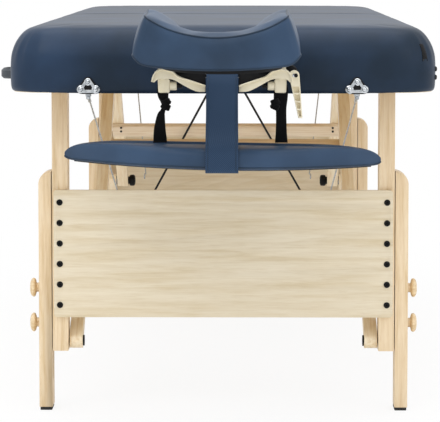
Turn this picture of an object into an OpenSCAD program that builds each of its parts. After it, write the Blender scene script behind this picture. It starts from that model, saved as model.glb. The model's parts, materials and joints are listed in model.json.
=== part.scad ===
// Folding massage table with a face cradle and an arm shelf. Millimetres.
// +Z is up and the near end with the face cradle is at -Y. The origin is on the floor, below the middle of
// the whole object with its face cradle and its carry handle.

/* [Top] */
// Width of the upholstered top
top_w = 762; // [700:1:820]
// Length of one half of the top, from the fold to the end
half_len = 927; // [860:1:980]
// Height of the upholstered surface above the floor
top_h = 716; // [680:1:760]
// Depth of the upholstered top, from its surface to its lower edge
top_t = 119; // [112:1:126]
// Radius of the top's corners, seen from above
corner_r = 70; // [40:1:100]
// Depth of the wooden frame rails
rail_h = 53; // [48:1:60]
// Thickness of the side rails
rail_t = 12; // [8:1:14]
// Thickness of the end rails and the rails beside the fold
end_rail_t = 18; // [14:1:24]
// Thickness of the plywood deck
deck_t = 8; // [5:1:12]
// Foam and vinyl outside the side and end rails
skirt_t = 7; // [5:1:12]

/* [Legs] */
// Distance of the leg hinge from the end rail
leg_room_len = 164; // [157:1:182]
// Height of the leg hinge above the top's lower edge
hinge_up_h = 23; // [21:1:27]
// Depth of posts and boards along the table
leg_d = 50; // [44:1:50]
// Thickness of a post across the table
post_t = 28.5; // [24:0.5:32]
// Thickness of an outer board across the table
board_t = 25; // [20:0.5:28]
// Space between the outer boards and the side rails
leg_gap_w = 22; // [20:0.5:32]
// Height of the lower end of the posts
post_low = 111; // [90:1:115]
// Height of the top of the outer boards
board_top = 444; // [430:1:450]
// Thickness of the rubber feet
foot_t = 6; // [4:0.5:10]
// Radius of an outer board's upper corner
board_r = 24; // [10:1:24]
// How far the boards may be drawn out
draw_out_len = 90; // [60:5:95]
// How far the boards may be pushed in
push_in_len = 100; // [50:5:100]

/* [Knobs] */
// Diameter of a leg knob's head
knob_d = 35; // [28:1:40]
// Height of the lower knob above the floor
knob_low = 161; // [158:1:170]
// Distance between the two knobs
knob_gap = 65; // [50:1:70]
// Diameter of the bolt in a leg knob
bolt_d = 8; // [6:0.5:10]
// Length of a leg knob
knob_len = 18; // [14:1:20]

/* [Panel] */
// How far the end panel's edges stand in from the posts' outer faces
panel_inset_w = 3.2; // [2:0.1:14]
// Height of the end panel's lower edge
panel_low = 175; // [170:1:190]
// Distance of the end panel's upper edge below the leg hinge
panel_drop_h = 210; // [205:1:230]
// Thickness of the end panel
panel_t = 9; // [6:0.5:9]
// Radius of the panel's corners
panel_r = 6; // [2:1:20]
// Diameter of the panel screws' heads
screw_d = 11.4; // [8:0.1:14]
// Screws on each side of the panel
screw_n = 6; // [2:1:7]
// Distance of the end screws from the panel's upper and lower edges
screw_edge_len = 22.75; // [12:0.25:30]

/* [Braces] */
// Distance of the upper strut's hinge from the rail beside the fold
brace_room_len = 22; // [18:1:26]
// Height of the lower strut's pivot above the floor
brace_pivot_h = 127; // [125:1:135]
// Depth of the struts
strut_d = 28; // [20:1:28]
// Thickness of a strut across the table
strut_t = 24; // [18:1:26]
// Distance of the crossbar from the upper strut's hinge
bar_y = 270; // [240:1:275]
// Width of the crossbar
bar_w = 43; // [30:1:45]
// Thickness of the crossbar
bar_t = 10; // [6:0.5:10]
// Diameter of the brace pivots
pivot_d = 10; // [6:0.5:12]
// Gap between the two struts at the knee
knee_gap = 4; // [3:0.5:6]

/* [Cables] */
// Diameter of the steel cables
cable_d = 3; // [2:0.5:4]
// Diameter of the black cords
cord_d = 5; // [3:0.5:6]
// Distance of the cable brackets from the centre
bracket_x = 237; // [220:1:250]
// Width of a cable bracket
bracket_w = 39; // [30:1:45]
// Height of a cable bracket
bracket_h = 26; // [20:1:30]

/* [Face cradle] */
// Diameter of the cradle rods
rod_d = 12.6; // [10:0.1:14]
// Distance of a rod from the centre
rod_x = 101; // [90:1:105]
// Height of the rods above the top's lower edge
rod_up_h = 27; // [21:1:33]
// Width of the face pillow
pillow_w = 275; // [250:1:300]
// Width of the pillow's ring
pillow_ring_w = 90; // [70:1:95]
// Thickness of the pillow
pillow_t = 58; // [40:1:65]
// Length of the pillow's straight arms
pillow_arm_len = 90; // [60:1:110]
// Tilt of the pillow, falling away from the table
pillow_tilt = 4; // [0:1:20]
// How far the pillow's sides rise above its middle
pillow_bow_h = 14; // [0:1:25]
// How much thicker the pillow is at its sides
pillow_swell_t = 24; // [0:1:35]
// Length of the cam lever
lever_len = 74; // [60:1:80]

/* [Arm shelf] */
// Width of the arm shelf
shelf_w = 556; // [480:1:600]
// Depth of the arm shelf
shelf_d = 180; // [150:1:200]
// How far the shelf's lower face hangs below the rods
shelf_drop_h = 153; // [134:1:184]
// Depth of the arm shelf at its narrow ends
shelf_tip_d = 28; // [20:1:60]
// Thickness of the shelf's board
shelf_board_t = 5; // [3:1:8]
// Thickness of the shelf's cushion
shelf_cushion_t = 34; // [25:1:45]
// Width of the black straps
strap_w = 24; // [18:1:28]
// Width of the middle strap
mid_strap_w = 56; // [40:1:70]
// Thickness of the straps
strap_t = 2.5; // [1.5:0.5:3]

/* [Carry handle] */
// Length of the carry handle's grip
grip_len = 120; // [90:1:150]
// How far the grip's outer face stands from the top's side
grip_out = 55; // [40:1:60]
// Height of the grip's section
grip_h = 25; // [18:1:28]
// Thickness of the grip's section
grip_t = 14; // [10:1:18]

/* [Hidden] */
$fn = 48;
// Clearance between pieces that lie against each other
clear = 0.3;
// Radial running clearance of a pivot
run_clear = 0.05;
// Overrun of a cut
over = 1;
// Gap at the fold on each side of the middle
fold_gap = 2;

under_h = top_h - top_t;
deck_low = under_h + rail_h;
deck_high = deck_low + deck_t;
rail_out = top_w / 2 - skirt_t;
rail_in = rail_out - rail_t;
end_out = half_len - skirt_t;
end_in = end_out - end_rail_t;
// The frame's corners follow the top's
rail_r = corner_r - skirt_t;
// Glue line between two pieces of the frame or the padding
glue = 0.1;
fold_in = fold_gap + end_rail_t;

leg_y = end_in - leg_room_len;
hinge_h = under_h + hinge_up_h;
board_x = rail_in - leg_gap_w;
board_in = board_x - board_t;
post_x = board_in - clear;
post_in = post_x - post_t;
panel_w = 2 * (post_x - panel_inset_w);
panel_high = hinge_h - panel_drop_h;
knob_zs = [knob_low, knob_low + knob_gap];
slot_clear = 0.5;
panel_y = leg_y + leg_d / 2;
screw_x = (post_in + post_x) / 2;
screw_mid = (panel_low + panel_high) / 2;
screw_pitch = (panel_high - panel_low - 2 * screw_edge_len) / (screw_n - 1);
screw_zs = [for (i = [0 : screw_n - 1]) screw_mid + (i - (screw_n - 1) / 2) * screw_pitch];
screw_proud = 1;
screw_shank_d = 5;
screw_grip = 20;
socket_d = 5;

// Flat folding: the two struts are collinear when open and lie along the leg when folded
brace_y = fold_in + brace_room_len;
brace_b = leg_y - brace_y;
brace_c = hinge_h - brace_pivot_h;
brace_l = sqrt(brace_b ^ 2 + brace_c ^ 2);
upper_len = (brace_l + brace_b - brace_c) / 2;
lower_len = brace_l - upper_len;
brace_a = atan2(brace_c, brace_b);
knee_y = brace_y + upper_len * cos(brace_a);
knee_z = hinge_h - upper_len * sin(brace_a);
strut_side = 1.5;
lower_out = post_in - strut_side;
lower_in = lower_out - strut_t;
upper_out = lower_in - knee_gap;
upper_in = upper_out - strut_t;
washer_t = knee_gap - 1;
washer_r = pivot_d;
bolt_head_t = 3;
hinge_pin_d = 10;
block_d = 54;
block_low = under_h;

bracket_t = 2;
eye_r = 5;
eye_drop = 6;
cable_end_y = end_out + eye_r / 2;
cable_end_z = under_h - eye_drop;
knee_knob_d = 26;
knee_knob_t = 14;
ring_t = 3;
ring_x = upper_in - ring_t / 2;
cord_x = 18;
cord_start_y = 6;
cord_start_z = under_h - eye_drop - over;
cord_end_x = lower_in - bolt_head_t - cord_d / 2 - clear;

hinge_leaf_t = 1.5;
hinge_w = 64;
hinge_inset = 62;
hinge_x = rail_in - hinge_inset;
knuckle_r = 3.5;
hinge_axis_z = under_h - knuckle_r - hinge_leaf_t;
fold_pin_r = 1.8;

rod_h = under_h + rod_up_h;
socket_r = rod_d / 2 + run_clear;
outlet_gap = 3;
skirt_hole_r = rod_d / 2 + outlet_gap;
rod_hold = 30;
rod_in = end_in - rod_hold;
// The cradle's shaft lies across the rods' ends
base_reach = 66;
base_y = half_len + base_reach;
base_d = 14;
base_h = 28;
base_front = 8;
clamp_half = 8.8;
clamp_in = 30;
shaft_r = 5;
shaft_up = 8;
shaft_z = rod_h + shaft_up;
hub_r = 11;
hub_w = 36;
base_half = rod_x + rod_d;
lever_gap = 11;
lever_x = base_half + lever_gap;
lever_t = 10;
lever_w = 18;
lever_wall = 2;
lever_back = shaft_r + over;
lever_pin_r = 3;
lever_ribs = 3;
arm_t = 8;
plate_t = 8;
plate_rise = 10;
// How far the pillow's plane starts behind the shaft
plate_back = 25.2;
// Room in front of the arms as they tilt
swing_gap = 6;

shelf_under = 32;
shelf_y = half_len - shelf_under;
shelf_low = rod_h - shelf_drop_h;
strap_gap = 20;
strap_y = half_len + strap_gap;
shelf_cushion_z = shelf_low + shelf_board_t + clear;
handle_y = half_len / 2;
handle_up = 2;
handle_z = under_h + grip_h / 2 + handle_up;
lug_w = 16;

// The fold's place in the object's frame
cradle_reach = base_y + (pillow_arm_len + pillow_w / 2 - plate_back) * cos(pillow_tilt)
    + (hub_r + plate_rise + plate_t + pillow_t / 2) * sin(pillow_tilt);
fold_place = [grip_out / 2, (cradle_reach - half_len - bracket_t) / 2, 0];

// Rings of the top, from the lower edge up: [share of the pad's height, inset as a share of that height]
pad_rings_share = [[0, 0.025], [0.16, 0.008], [0.36, 0], [0.55, 0.05], [0.7, 0.16],
    [0.82, 0.36], [0.91, 0.62], [0.965, 0.95], [0.99, 1.35], [1, 2.1]];
// How much of an end's inset a cushion keeps beside the fold
fold_inset_share = 0.12;
// Steps in a quarter of a corner
arc_n = 6;

wood = "#e6cfae";
panel_wood = "#e3d3b5";
navy = "#35455a";
steel = "#c8ccd0";
black = "#222222";
cream = "#e4dccb";

// Placing: sub-parts are drawn at the far end, and mirrored for the near end
module at_end(far) {
    translate(fold_place) mirror([0, far ? 0 : 1, 0]) children();
}

module both_sides() {
    children();
    mirror([1, 0, 0]) children();
}

module at_side(right) {
    if (right) children();
    else mirror([1, 0, 0]) children();
}

// A cylinder along X between two places
module x_pin(x0, x1, r) {
    translate([x0, 0, 0]) rotate([0, 90, 0]) cylinder(h = x1 - x0, r = r);
}

module y_pin(y0, y1, r) {
    translate([0, y0, 0]) rotate([-90, 0, 0]) cylinder(h = y1 - y0, r = r);
}

// A box from one corner to the other
module slab(low, high) {
    translate(low) cube(high - low);
}

// A bar along +Y with round ends, bored at both, between two places on X
module bar(x0, x1, length, depth, bore_r) {
    difference() {
        union() {
            slab([x0, 0, -depth / 2], [x1, length, depth / 2]);
            x_pin(x0, x1, depth / 2);
            translate([0, length, 0]) x_pin(x0, x1, depth / 2);
        }
        x_pin(x0 - over, x1 + over, bore_r);
        translate([0, length, 0]) x_pin(x0 - over, x1 + over, bore_r);
    }
}

// A block across the table from the fold outwards, its outer corners rounded
module rounded_block(x, y, r, low, high) {
    slab([-x, -over, low], [x, y - r, high]);
    slab([-x + r, -over, low], [x - r, y, high]);
    both_sides() translate([x - r, y - r, low]) cylinder(h = high - low, r = r);
}

// Closed skin over rings that all have the same number of points
module skin(rings) {
    n = len(rings[0]);
    m = len(rings);
    points = [for (ring = rings) each ring];
    sides = [for (i = [0 : m - 2]) for (j = [0 : n - 1])
        let (a = i * n + j, b = i * n + (j + 1) % n, c = a + n, d = b + n)
            each [[a, b, d], [a, d, c]]];
    low = [for (j = [1 : n - 2]) [0, j + 1, j]];
    high = [for (j = [1 : n - 2]) [(m - 1) * n, (m - 1) * n + j, (m - 1) * n + j + 1]];
    polyhedron(points = points, faces = [for (f = concat(sides, low, high)) [f[0], f[2], f[1]]]);
}

// A rounded rectangle at one height, counter-clockwise from above
function corner(cx, cy, r, from, z) =
    [for (i = [0 : arc_n]) let (a = from + 90 * i / arc_n) [cx + r * cos(a), cy + r * sin(a), z]];
function plan(x, y0, y1, r_in, r_out, z) = concat(
    corner(x - r_out, y1 - r_out, r_out, 0, z), corner(-x + r_out, y1 - r_out, r_out, 90, z),
    corner(-x + r_in, y0 + r_in, r_in, 180, z), corner(x - r_in, y0 + r_in, r_in, 270, z));

// Tube along a straight line between two points
function unit(v) = v / norm(v);
function tube_ring(p, d, r, n) =
    let (u = unit(cross(d, [1, 0, 0])), w = cross(d, u))
        [for (i = [0 : n - 1]) p + r * (cos(360 * i / n) * u + sin(360 * i / n) * w)];
module straight_tube(p0, p1, r, n = 8) {
    d = unit(p1 - p0);
    skin([tube_ring(p0, d, r, n), tube_ring((p0 + p1) / 2, d, r, n), tube_ring(p1, d, r, n)]);
}

// Top
pad_h = top_h - under_h;
module cushion(far) {
    fold_r = fold_inset_share * corner_r;
    color(navy) at_end(far) difference() {
        skin([for (s = pad_rings_share) let (inset = s[1] * pad_h)
            plan(top_w / 2 - inset, fold_gap / 2 + inset * fold_inset_share, half_len - inset,
                fold_r, max(corner_r - inset / 2, fold_r), under_h + s[0] * pad_h)]);
        rounded_block(rail_out + clear, end_out + clear, rail_r + clear, under_h - over, deck_high + clear);
        skirt_seams();
        rod_outlets();
    }
}

// The pad lies on the deck, and strips of padding hang from its edge round the frame
module skirt_seams() {
    cut_y = half_len - corner_r;
    slab([-top_w, -over, deck_low - glue], [top_w, half_len + over, deck_low]);
    both_sides() {
        slab([rail_out - over, cut_y, under_h - over], [top_w, cut_y + glue, deck_low]);
        slab([top_w / 2 - corner_r, end_out - over, under_h - over],
            [top_w / 2 - corner_r + glue, half_len + over, deck_low]);
    }
}

// Openings in the end strip for the rods of a face cradle, with the seams beside them
module rod_outlets() {
    both_sides() for (x = [rod_x - skirt_hole_r, rod_x + skirt_hole_r])
        slab([x - glue / 2, end_out - over, under_h - over], [x + glue / 2, half_len + over, deck_low]);
    both_sides() slab([rod_x - skirt_hole_r, end_out - over, rod_h - skirt_hole_r],
        [rod_x + skirt_hole_r, half_len + over, rod_h + skirt_hole_r]);
}

module deck(far) {
    color(wood) at_end(far) intersection() {
        slab([-rail_out, fold_gap, deck_low], [rail_out, end_out, deck_high]);
        rounded_block(rail_out, end_out, rail_r, under_h, deck_high + over);
    }
}

module rails(far) {
    color(wood) at_end(far) intersection() {
        rounded_block(rail_out, end_out, rail_r, under_h - over, deck_low);
        rail_frame();
    }
}

// Glued block that thickens a rounded corner of the frame
module corner_block() {
    slab([rail_in - rail_r, end_in - rail_r / 2, under_h], [rail_out, end_in - glue, deck_low]);
    slab([rail_in - rail_r / 2, end_in - rail_r, under_h], [rail_out, end_in - glue, deck_low]);
}

module rail_frame() {
    union() {
        both_sides() slab([rail_in, fold_in + glue, under_h], [rail_out, end_in - glue, deck_low]);
        slab([-rail_out, fold_gap, under_h], [rail_out, fold_in, deck_low]);
        both_sides() corner_block();
        difference() {
            slab([-rail_out, end_in, under_h], [rail_out, end_out, deck_low]);
            both_sides() translate([rod_x, 0, rod_h]) y_pin(end_in - over, end_out + over, socket_r);
        }
    }
}

module leg_hinges(far) {
    color(steel) at_end(far) both_sides() {
        slab([board_in, leg_y - block_d / 2, block_low], [rail_in, leg_y + block_d / 2, deck_low]);
        translate([0, leg_y, hinge_h]) x_pin(post_in, board_in, hinge_pin_d / 2);
    }
}

module brace_hinges(far) {
    color(steel) at_end(far) both_sides() {
        slab([upper_out + clear, fold_in, under_h], [upper_out + strut_t, fold_in + strut_d, deck_low]);
        translate([0, brace_y, hinge_h]) x_pin(upper_in, upper_out + clear, pivot_d / 2);
    }
}

module cable_brackets(far) {
    color(steel) at_end(far) both_sides() {
        slab([bracket_x - bracket_w / 2, half_len, under_h],
            [bracket_x + bracket_w / 2, half_len + bracket_t, under_h + bracket_h]);
        slab([bracket_x - bracket_w / 2, end_in, under_h - bracket_t], [bracket_x + bracket_w / 2,
            half_len + bracket_t, under_h]);
        translate([bracket_x, cable_end_y, 0]) slab([-eye_r, -eye_r, cable_end_z], [eye_r, eye_r,
            under_h - bracket_t]);
    }
}

// The near leaf carries the pin and the middle knuckle, the far leaf the outer two
module fold_hinges(far) {
    third = hinge_w / 3;
    color(steel) translate(fold_place) for (x = [-hinge_x, hinge_x]) translate([x, 0, 0]) {
        mirror([0, far ? 0 : 1, 0]) {
            slab([-hinge_w / 2, fold_gap + knuckle_r, under_h - hinge_leaf_t],
                [hinge_w / 2, fold_in, under_h]);
        }
        for (i = far ? [-1, 1] : [0]) {
            x0 = (i - 1 / 2) * third + clear;
            x1 = (i + 1 / 2) * third - clear;
            difference() {
                union() {
                    translate([0, 0, hinge_axis_z]) x_pin(x0, x1, knuckle_r);
                    mirror([0, far ? 0 : 1, 0]) slab([x0, 0, hinge_axis_z + knuckle_r - hinge_leaf_t],
                        [x1, fold_in, under_h - hinge_leaf_t]);
                }
                if (far) translate([0, 0, hinge_axis_z]) x_pin(x0 - over, x1 + over, fold_pin_r + run_clear);
            }
        }
        if (!far) translate([0, 0, hinge_axis_z]) x_pin(-hinge_w / 2, hinge_w / 2, fold_pin_r);
    }
}

module carry_handle() {
    side = top_w / 2;
    color("#333a40") translate(fold_place) translate([0, -handle_y, handle_z]) {
        slab([-side - grip_out, -grip_len / 2, -grip_h / 2],
            [-side - grip_out + grip_t, grip_len / 2, grip_h / 2]);
        for (y = [-grip_len / 2, grip_len / 2 - lug_w])
            slab([-side - grip_out + grip_t, y, -grip_h / 2], [-side + clear, y + lug_w, grip_h / 2]);
    }
}

// Legs
module posts(far) {
    color(wood) at_end(far) both_sides() difference() {
        union() {
            slab([post_in, leg_y - leg_d / 2, post_low], [post_x, leg_y + leg_d / 2, hinge_h]);
            translate([0, leg_y, hinge_h]) x_pin(post_in, post_x, leg_d / 2);
        }
        translate([0, leg_y, hinge_h]) x_pin(post_in - over, post_x + over, hinge_pin_d / 2 + run_clear);
        translate([0, leg_y, brace_pivot_h]) x_pin(post_in - over, post_x + over, pivot_d / 2 + run_clear);
        for (z = knob_zs)
            translate([0, leg_y, z]) x_pin(post_in - over, post_x + over, bolt_d / 2 + run_clear);
        for (z = screw_zs) translate([screw_x, 0, z])
            y_pin(panel_y - screw_grip - over, panel_y + over, screw_shank_d / 2 + run_clear);
    }
}

module panel(far) {
    color(panel_wood) at_end(far) difference() {
        translate([0, panel_y + panel_t, 0]) rotate([90, 0, 0]) linear_extrude(panel_t) difference() {
            translate([-panel_w / 2, panel_low]) square([panel_w, panel_high - panel_low]);
            for (sx = [-1, 1]) for (sz = [[panel_low, 1], [panel_high, -1]])
                translate([sx * panel_w / 2, sz[0]]) scale([sx, sz[1]]) difference() {
                    translate([-panel_r, -over]) square([panel_r + over, panel_r + over]);
                    translate([-panel_r, panel_r]) circle(panel_r);
                }
        }
        both_sides() for (z = screw_zs) translate([screw_x, 0, z]) {
            y_pin(panel_y - over, panel_y + panel_t + over, screw_shank_d / 2 + run_clear);
            y_pin(panel_y + panel_t / 2, panel_y + panel_t + over, screw_d / 2 + run_clear);
        }
    }
}

module leg_screws(far) {
    color(black) at_end(far) both_sides() {
        for (z = screw_zs) translate([screw_x, 0, z]) difference() {
            union() {
                y_pin(panel_y - screw_grip, panel_y + panel_t / 2, screw_shank_d / 2);
                y_pin(panel_y + panel_t / 2, panel_y + panel_t + screw_proud, screw_d / 2);
            }
            translate([0, panel_y + panel_t / 2 + screw_proud, 0]) rotate([-90, 0, 0])
                cylinder(h = panel_t, d = socket_d, $fn = 6);
        }
        for (z = knob_zs) translate([0, leg_y, z]) x_pin(post_in, board_x + knob_len / 2, bolt_d / 2);
        translate([0, leg_y, brace_pivot_h]) {
            x_pin(lower_in, post_x - clear, pivot_d / 2);
            x_pin(lower_in - bolt_head_t, lower_in - clear, pivot_d);
            x_pin(lower_in - clear, lower_in, pivot_d / 2);
        }
    }
}

module board(far, right) {
    color(wood) at_end(far) at_side(right) difference() {
        slab([board_in, leg_y - leg_d / 2, foot_t], [board_x, leg_y + leg_d / 2, board_top]);
        translate([board_x - board_r, 0, board_top - board_r]) difference() {
            slab([0, leg_y - leg_d, 0], [board_r + over, leg_y + leg_d, board_r + over]);
            y_pin(leg_y - leg_d - over, leg_y + leg_d + over, board_r);
        }
        slab([board_in - over, leg_y - bolt_d / 2 - slot_clear, knob_low - push_in_len],
            [board_x + over, leg_y + bolt_d / 2 + slot_clear, knob_low + knob_gap + draw_out_len]);
        for (z = [knob_low - push_in_len, knob_low + knob_gap + draw_out_len])
            translate([0, leg_y, z]) x_pin(board_in - over, board_x + over, bolt_d / 2 + slot_clear);
    }
}

module foot(far, right) {
    inset = foot_t / 4;
    color(black) at_end(far) at_side(right)
        slab([board_in + inset, leg_y - leg_d / 2 + inset, 0],
            [board_x - inset, leg_y + leg_d / 2 - inset, foot_t]);
}

// A turned mushroom knob on its bolt
module leg_knob(far, right, z) {
    neck_r = knob_d / 4;
    color(panel_wood) at_end(far) at_side(right) translate([board_x + clear, leg_y, z]) rotate([0, 90, 0])
        difference() {
            rotate_extrude() polygon([[0, 0], [neck_r, 0], [neck_r, knob_len * 0.35],
                [knob_d * 0.44, knob_len * 0.42], [knob_d / 2, knob_len * 0.55],
                [knob_d * 0.49, knob_len * 0.7], [knob_d * 0.4, knob_len * 0.86],
                [knob_d * 0.24, knob_len * 0.96], [0, knob_len]]);
            translate([0, 0, -over]) cylinder(h = knob_len / 2 + over, r = bolt_d / 2 + run_clear);
        }
}

// Braces
module lower_struts(far) {
    color(wood) at_end(far) both_sides() translate([0, leg_y, brace_pivot_h]) rotate([180 - brace_a, 0, 0])
        bar(lower_in, lower_out, lower_len, strut_d, pivot_d / 2 + run_clear);
}

module knee_bolts(far) {
    color(steel) at_end(far) both_sides() translate([0, knee_y, knee_z]) {
        x_pin(lower_in - washer_t, lower_in, washer_r);
        x_pin(lower_in, lower_out - clear, pivot_d / 2);
    }
}

module upper_struts(far) {
    color("#d2b384") at_end(far) both_sides() translate([0, brace_y, hinge_h]) rotate([-brace_a, 0, 0])
        bar(upper_in, upper_out, upper_len, strut_d, pivot_d / 2 + run_clear);
}

module crossbar(far) {
    color(wood) at_end(far) translate([0, brace_y, hinge_h]) rotate([-brace_a, 0, 0])
        slab([-upper_out, bar_y - bar_w / 2, -strut_d / 2 - bar_t],
            [upper_out, bar_y + bar_w / 2, -strut_d / 2]);
}

module knee_knobs(far) {
    color(black) at_end(far) both_sides() {
        translate([0, knee_y, knee_z]) {
            x_pin(upper_in - ring_t, upper_in, knee_knob_d / 3);
            x_pin(upper_in - ring_t - knee_knob_t, upper_in - ring_t, knee_knob_d / 2);
            x_pin(upper_in, upper_out, pivot_d / 2);
        }
        translate([0, brace_y, hinge_h]) rotate([-brace_a, 0, 0])
            for (t = [bar_y - bar_w / 7, bar_y + bar_w / 7])
                translate([(upper_in + upper_out) / 2, t, -strut_d / 2 - bar_t - screw_proud])
                    cylinder(h = screw_proud, r = screw_shank_d / 2);
    }
}

// Cables from the end brackets to the knees
module cables(far) {
    color(steel) at_end(far) both_sides() straight_tube(
        [bracket_x, cable_end_y - eye_r, cable_end_z - cable_d / 2],
        [ring_x - knee_knob_d / 4, knee_y + knee_knob_d / 2 + cable_d, knee_z + knee_knob_d / 2],
        cable_d / 2);
}

module leg_cords() {
    color(black) at_end(true) both_sides() straight_tube([cord_x, cord_start_y, cord_start_z - cord_d],
        [cord_end_x, leg_y, brace_pivot_h], cord_d / 2);
}

// Face cradle, drawn outwards from the near end
module cradle_rods() {
    color(steel) at_end(false) {
        both_sides() translate([rod_x, 0, rod_h]) y_pin(rod_in, base_y - shaft_r - over, rod_d / 2);
        translate([0, base_y, shaft_z]) x_pin(-base_half, lever_x + lever_pin_r * 2, shaft_r);
        translate([lever_x, base_y, shaft_z]) y_pin(0, lever_back + lever_t + screw_proud, lever_pin_r);
    }
}

// Clamps on the rods' ends that carry the shaft
module cradle_base() {
    color(cream) at_end(false) both_sides() difference() {
        union() {
            slab([rod_x - clamp_half, base_y - base_d, rod_h - base_h * 0.6],
                [rod_x + clamp_half, base_y + base_front, rod_h + base_h * 0.85]);
            slab([rod_x - clamp_in, base_y - base_d, rod_h - base_h * 0.93],
                [rod_x + clamp_half, base_y + base_front, shaft_z - hub_r - clear]);
        }
        translate([rod_x, 0, rod_h]) y_pin(base_y - base_d - over, base_y - shaft_r, rod_d / 2 + run_clear);
        translate([0, base_y, shaft_z]) x_pin(-base_half - over, base_half + over, shaft_r + run_clear);
    }
}

// Outline of the arms: [share of the rod's place, share of the base's height above the rods]
arm_top_share = [[1.12, 0.2], [1.11, 0.5], [1.02, 0.82], [0.88, 0.92],
    [0.74, 0.76], [0.6, 0.4], [0.3, -0.32], [0, -0.44]];
arm_low_share = [[0, -0.78], [0.3, -0.64], [0.62, 0.08], [0.76, 0.48],
    [0.86, 0.66], [0.96, 0.6], [1.05, 0.38], [1.07, 0.2]];
// Curved arms under the plate, which tilt with it
module cradle_arms() {
    half = [for (p = concat(arm_top_share, arm_low_share)) [p[0] * rod_x, p[1] * base_h]];
    color(cream) at_end(false) both_sides()
        translate([0, base_y + hub_r + clear + arm_t, rod_h]) rotate([90, 0, 0])
            linear_extrude(arm_t) polygon(half);
}

// The pillow's path in its own plane, open towards the table
ring_r = (pillow_w - pillow_ring_w) / 2;
path_n = 20;
// Below 1 the front of the pillow is squarer
front_share = 0.6;
function path_point(i) =
    let (a = 180 * i / path_n, c = cos(a))
        [ring_r * sign(c) * pow(abs(c), front_share), pillow_arm_len + ring_r * pow(sin(a), front_share)];
function path_side(i) = let (a = 180 * i / path_n) [cos(a), sin(a)];
pillow_steps_share = [[-1, 0.35], [-0.96, 0.72], [-0.85, 0.93], [-0.6, 1]];
function pillow_end(k, side) =
    let (s = pillow_steps_share[k]) [side * ring_r, pillow_arm_len * (1 + s[0]), side, 0, s[1]];
pillow_path = concat([for (k = [0 : 3]) pillow_end(k, 1)],
    [for (i = [0 : path_n]) let (p = path_point(i), d = path_side(i)) [p[0], p[1], d[0], d[1], 1]],
    [for (k = [3 : -1 : 0]) pillow_end(k, -1)]);
pillow_sides = 16;
function pillow_ring_at(p) = [for (j = [0 : pillow_sides - 1])
    let (a = 360 * j / pillow_sides, c = cos(a), s = sin(a),
        u = sign(c) * pow(abs(c), 0.75) * pillow_ring_w / 2 * p[4],
        w = sign(s) * pow(abs(s), 0.75) * pillow_t / 2 * p[4])
        let (x = p[0] + p[2] * u, side = (2 * x / pillow_w) ^ 2)
            [x, p[1] + p[3] * u,
                side * pillow_bow_h + (w + pillow_t / 2) * (1 + side * pillow_swell_t / pillow_t)]];

module in_cradle_plane() {
    at_end(false) translate([0, base_y, shaft_z]) rotate([-pillow_tilt, 0, 0])
        translate([0, -plate_back, hub_r + plate_rise]) children();
}

module face_pillow() {
    color(navy) in_cradle_plane() translate([0, 0, plate_t + clear])
        skin([for (p = pillow_path) pillow_ring_at(p)]);
}

module cradle_plate() {
    plate_r = ring_r + pillow_ring_w / 8;
    hub_x = rod_x - clamp_half - clear;
    color(black) {
        in_cradle_plane() difference() {
            union() {
                slab([-plate_r * 0.96, pillow_arm_len / 8, 0],
                    [plate_r * 0.96, pillow_arm_len * 1.2, plate_t]);
                translate([0, pillow_arm_len, 0]) cylinder(h = plate_t, r = plate_r);
            }
            translate([0, pillow_arm_len, -over])
                cylinder(h = plate_t + 2 * over, r = ring_r - pillow_ring_w / 3);
            slab([-ring_r + pillow_ring_w / 2.5, -plate_r, -over],
                [ring_r - pillow_ring_w / 2.5, pillow_arm_len * 1.2, plate_t + over]);
        }
        at_end(false) both_sides() difference() {
            union() {
                translate([0, base_y, shaft_z]) x_pin(hub_x - hub_w, hub_x, hub_r);
                translate([0, base_y, shaft_z]) rotate([-pillow_tilt, 0, 0])
                    slab([hub_x - hub_w * 0.9, -hub_r * 0.7, hub_r * 0.1],
                        [hub_x - hub_w * 0.1, hub_r * 0.8, hub_r + plate_rise + plate_t / 2]);
            }
            translate([0, base_y, shaft_z]) x_pin(hub_x - hub_w - over, hub_x + over, shaft_r + run_clear);
        }
    }
}

// A moulded lever in the plane across the table, open in front, with ribs
module cam_lever() {
    top_half = lever_w / 2;
    low_half = lever_w / 5;
    lean = lever_w * 0.6;
    color(cream) at_end(false) translate([lever_x, base_y + lever_back, shaft_z]) difference() {
        union() {
            y_pin(0, lever_t, top_half);
            translate([0, lever_t, 0]) rotate([90, 0, 0]) linear_extrude(lever_t)
                polygon([[-top_half, 0], [top_half, 0], [lean + low_half, -lever_len],
                    [lean - low_half, -lever_len]]);
        }
        y_pin(-over, lever_t + over, lever_pin_r + run_clear);
        for (i = [0 : lever_ribs]) {
            a = (i + 1.4) / (lever_ribs + 2.4);
            b = (i + 2.2) / (lever_ribs + 2.4);
            translate([0, lever_t + over, 0]) rotate([90, 0, 0]) linear_extrude(lever_t - lever_wall + over)
                polygon([[lean * a - top_half * (1 - a) - low_half * a + lever_wall, -lever_len * a],
                    [lean * a + top_half * (1 - a) + low_half * a - lever_wall, -lever_len * a],
                    [lean * b + top_half * (1 - b) + low_half * b - lever_wall, -lever_len * b],
                    [lean * b - top_half * (1 - b) - low_half * b + lever_wall, -lever_len * b]]);
        }
    }
}

// Arm shelf, seen from above: straight towards the table, curved in front, counter-clockwise
shelf_n = 24;
function shelf_plan(inset, z) =
    let (x = shelf_w / 2 - inset, r = shelf_tip_d / 2, y0 = shelf_y + inset,
        rise = shelf_d - 2 * inset - r)
        concat([for (i = [0 : shelf_n]) let (t = cos(180 * i / shelf_n))
            [x * t, y0 + r + rise * (1 - t * t), z]],
            corner(-x + r, y0 + r, r, 180, z), corner(x - r, y0 + r, r, 270, z));

module shelf_board() {
    inset = shelf_board_t * 3;
    color(wood) at_end(false)
        skin([for (z = [shelf_low, shelf_low + shelf_board_t]) shelf_plan(inset, z)]);
}

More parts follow.
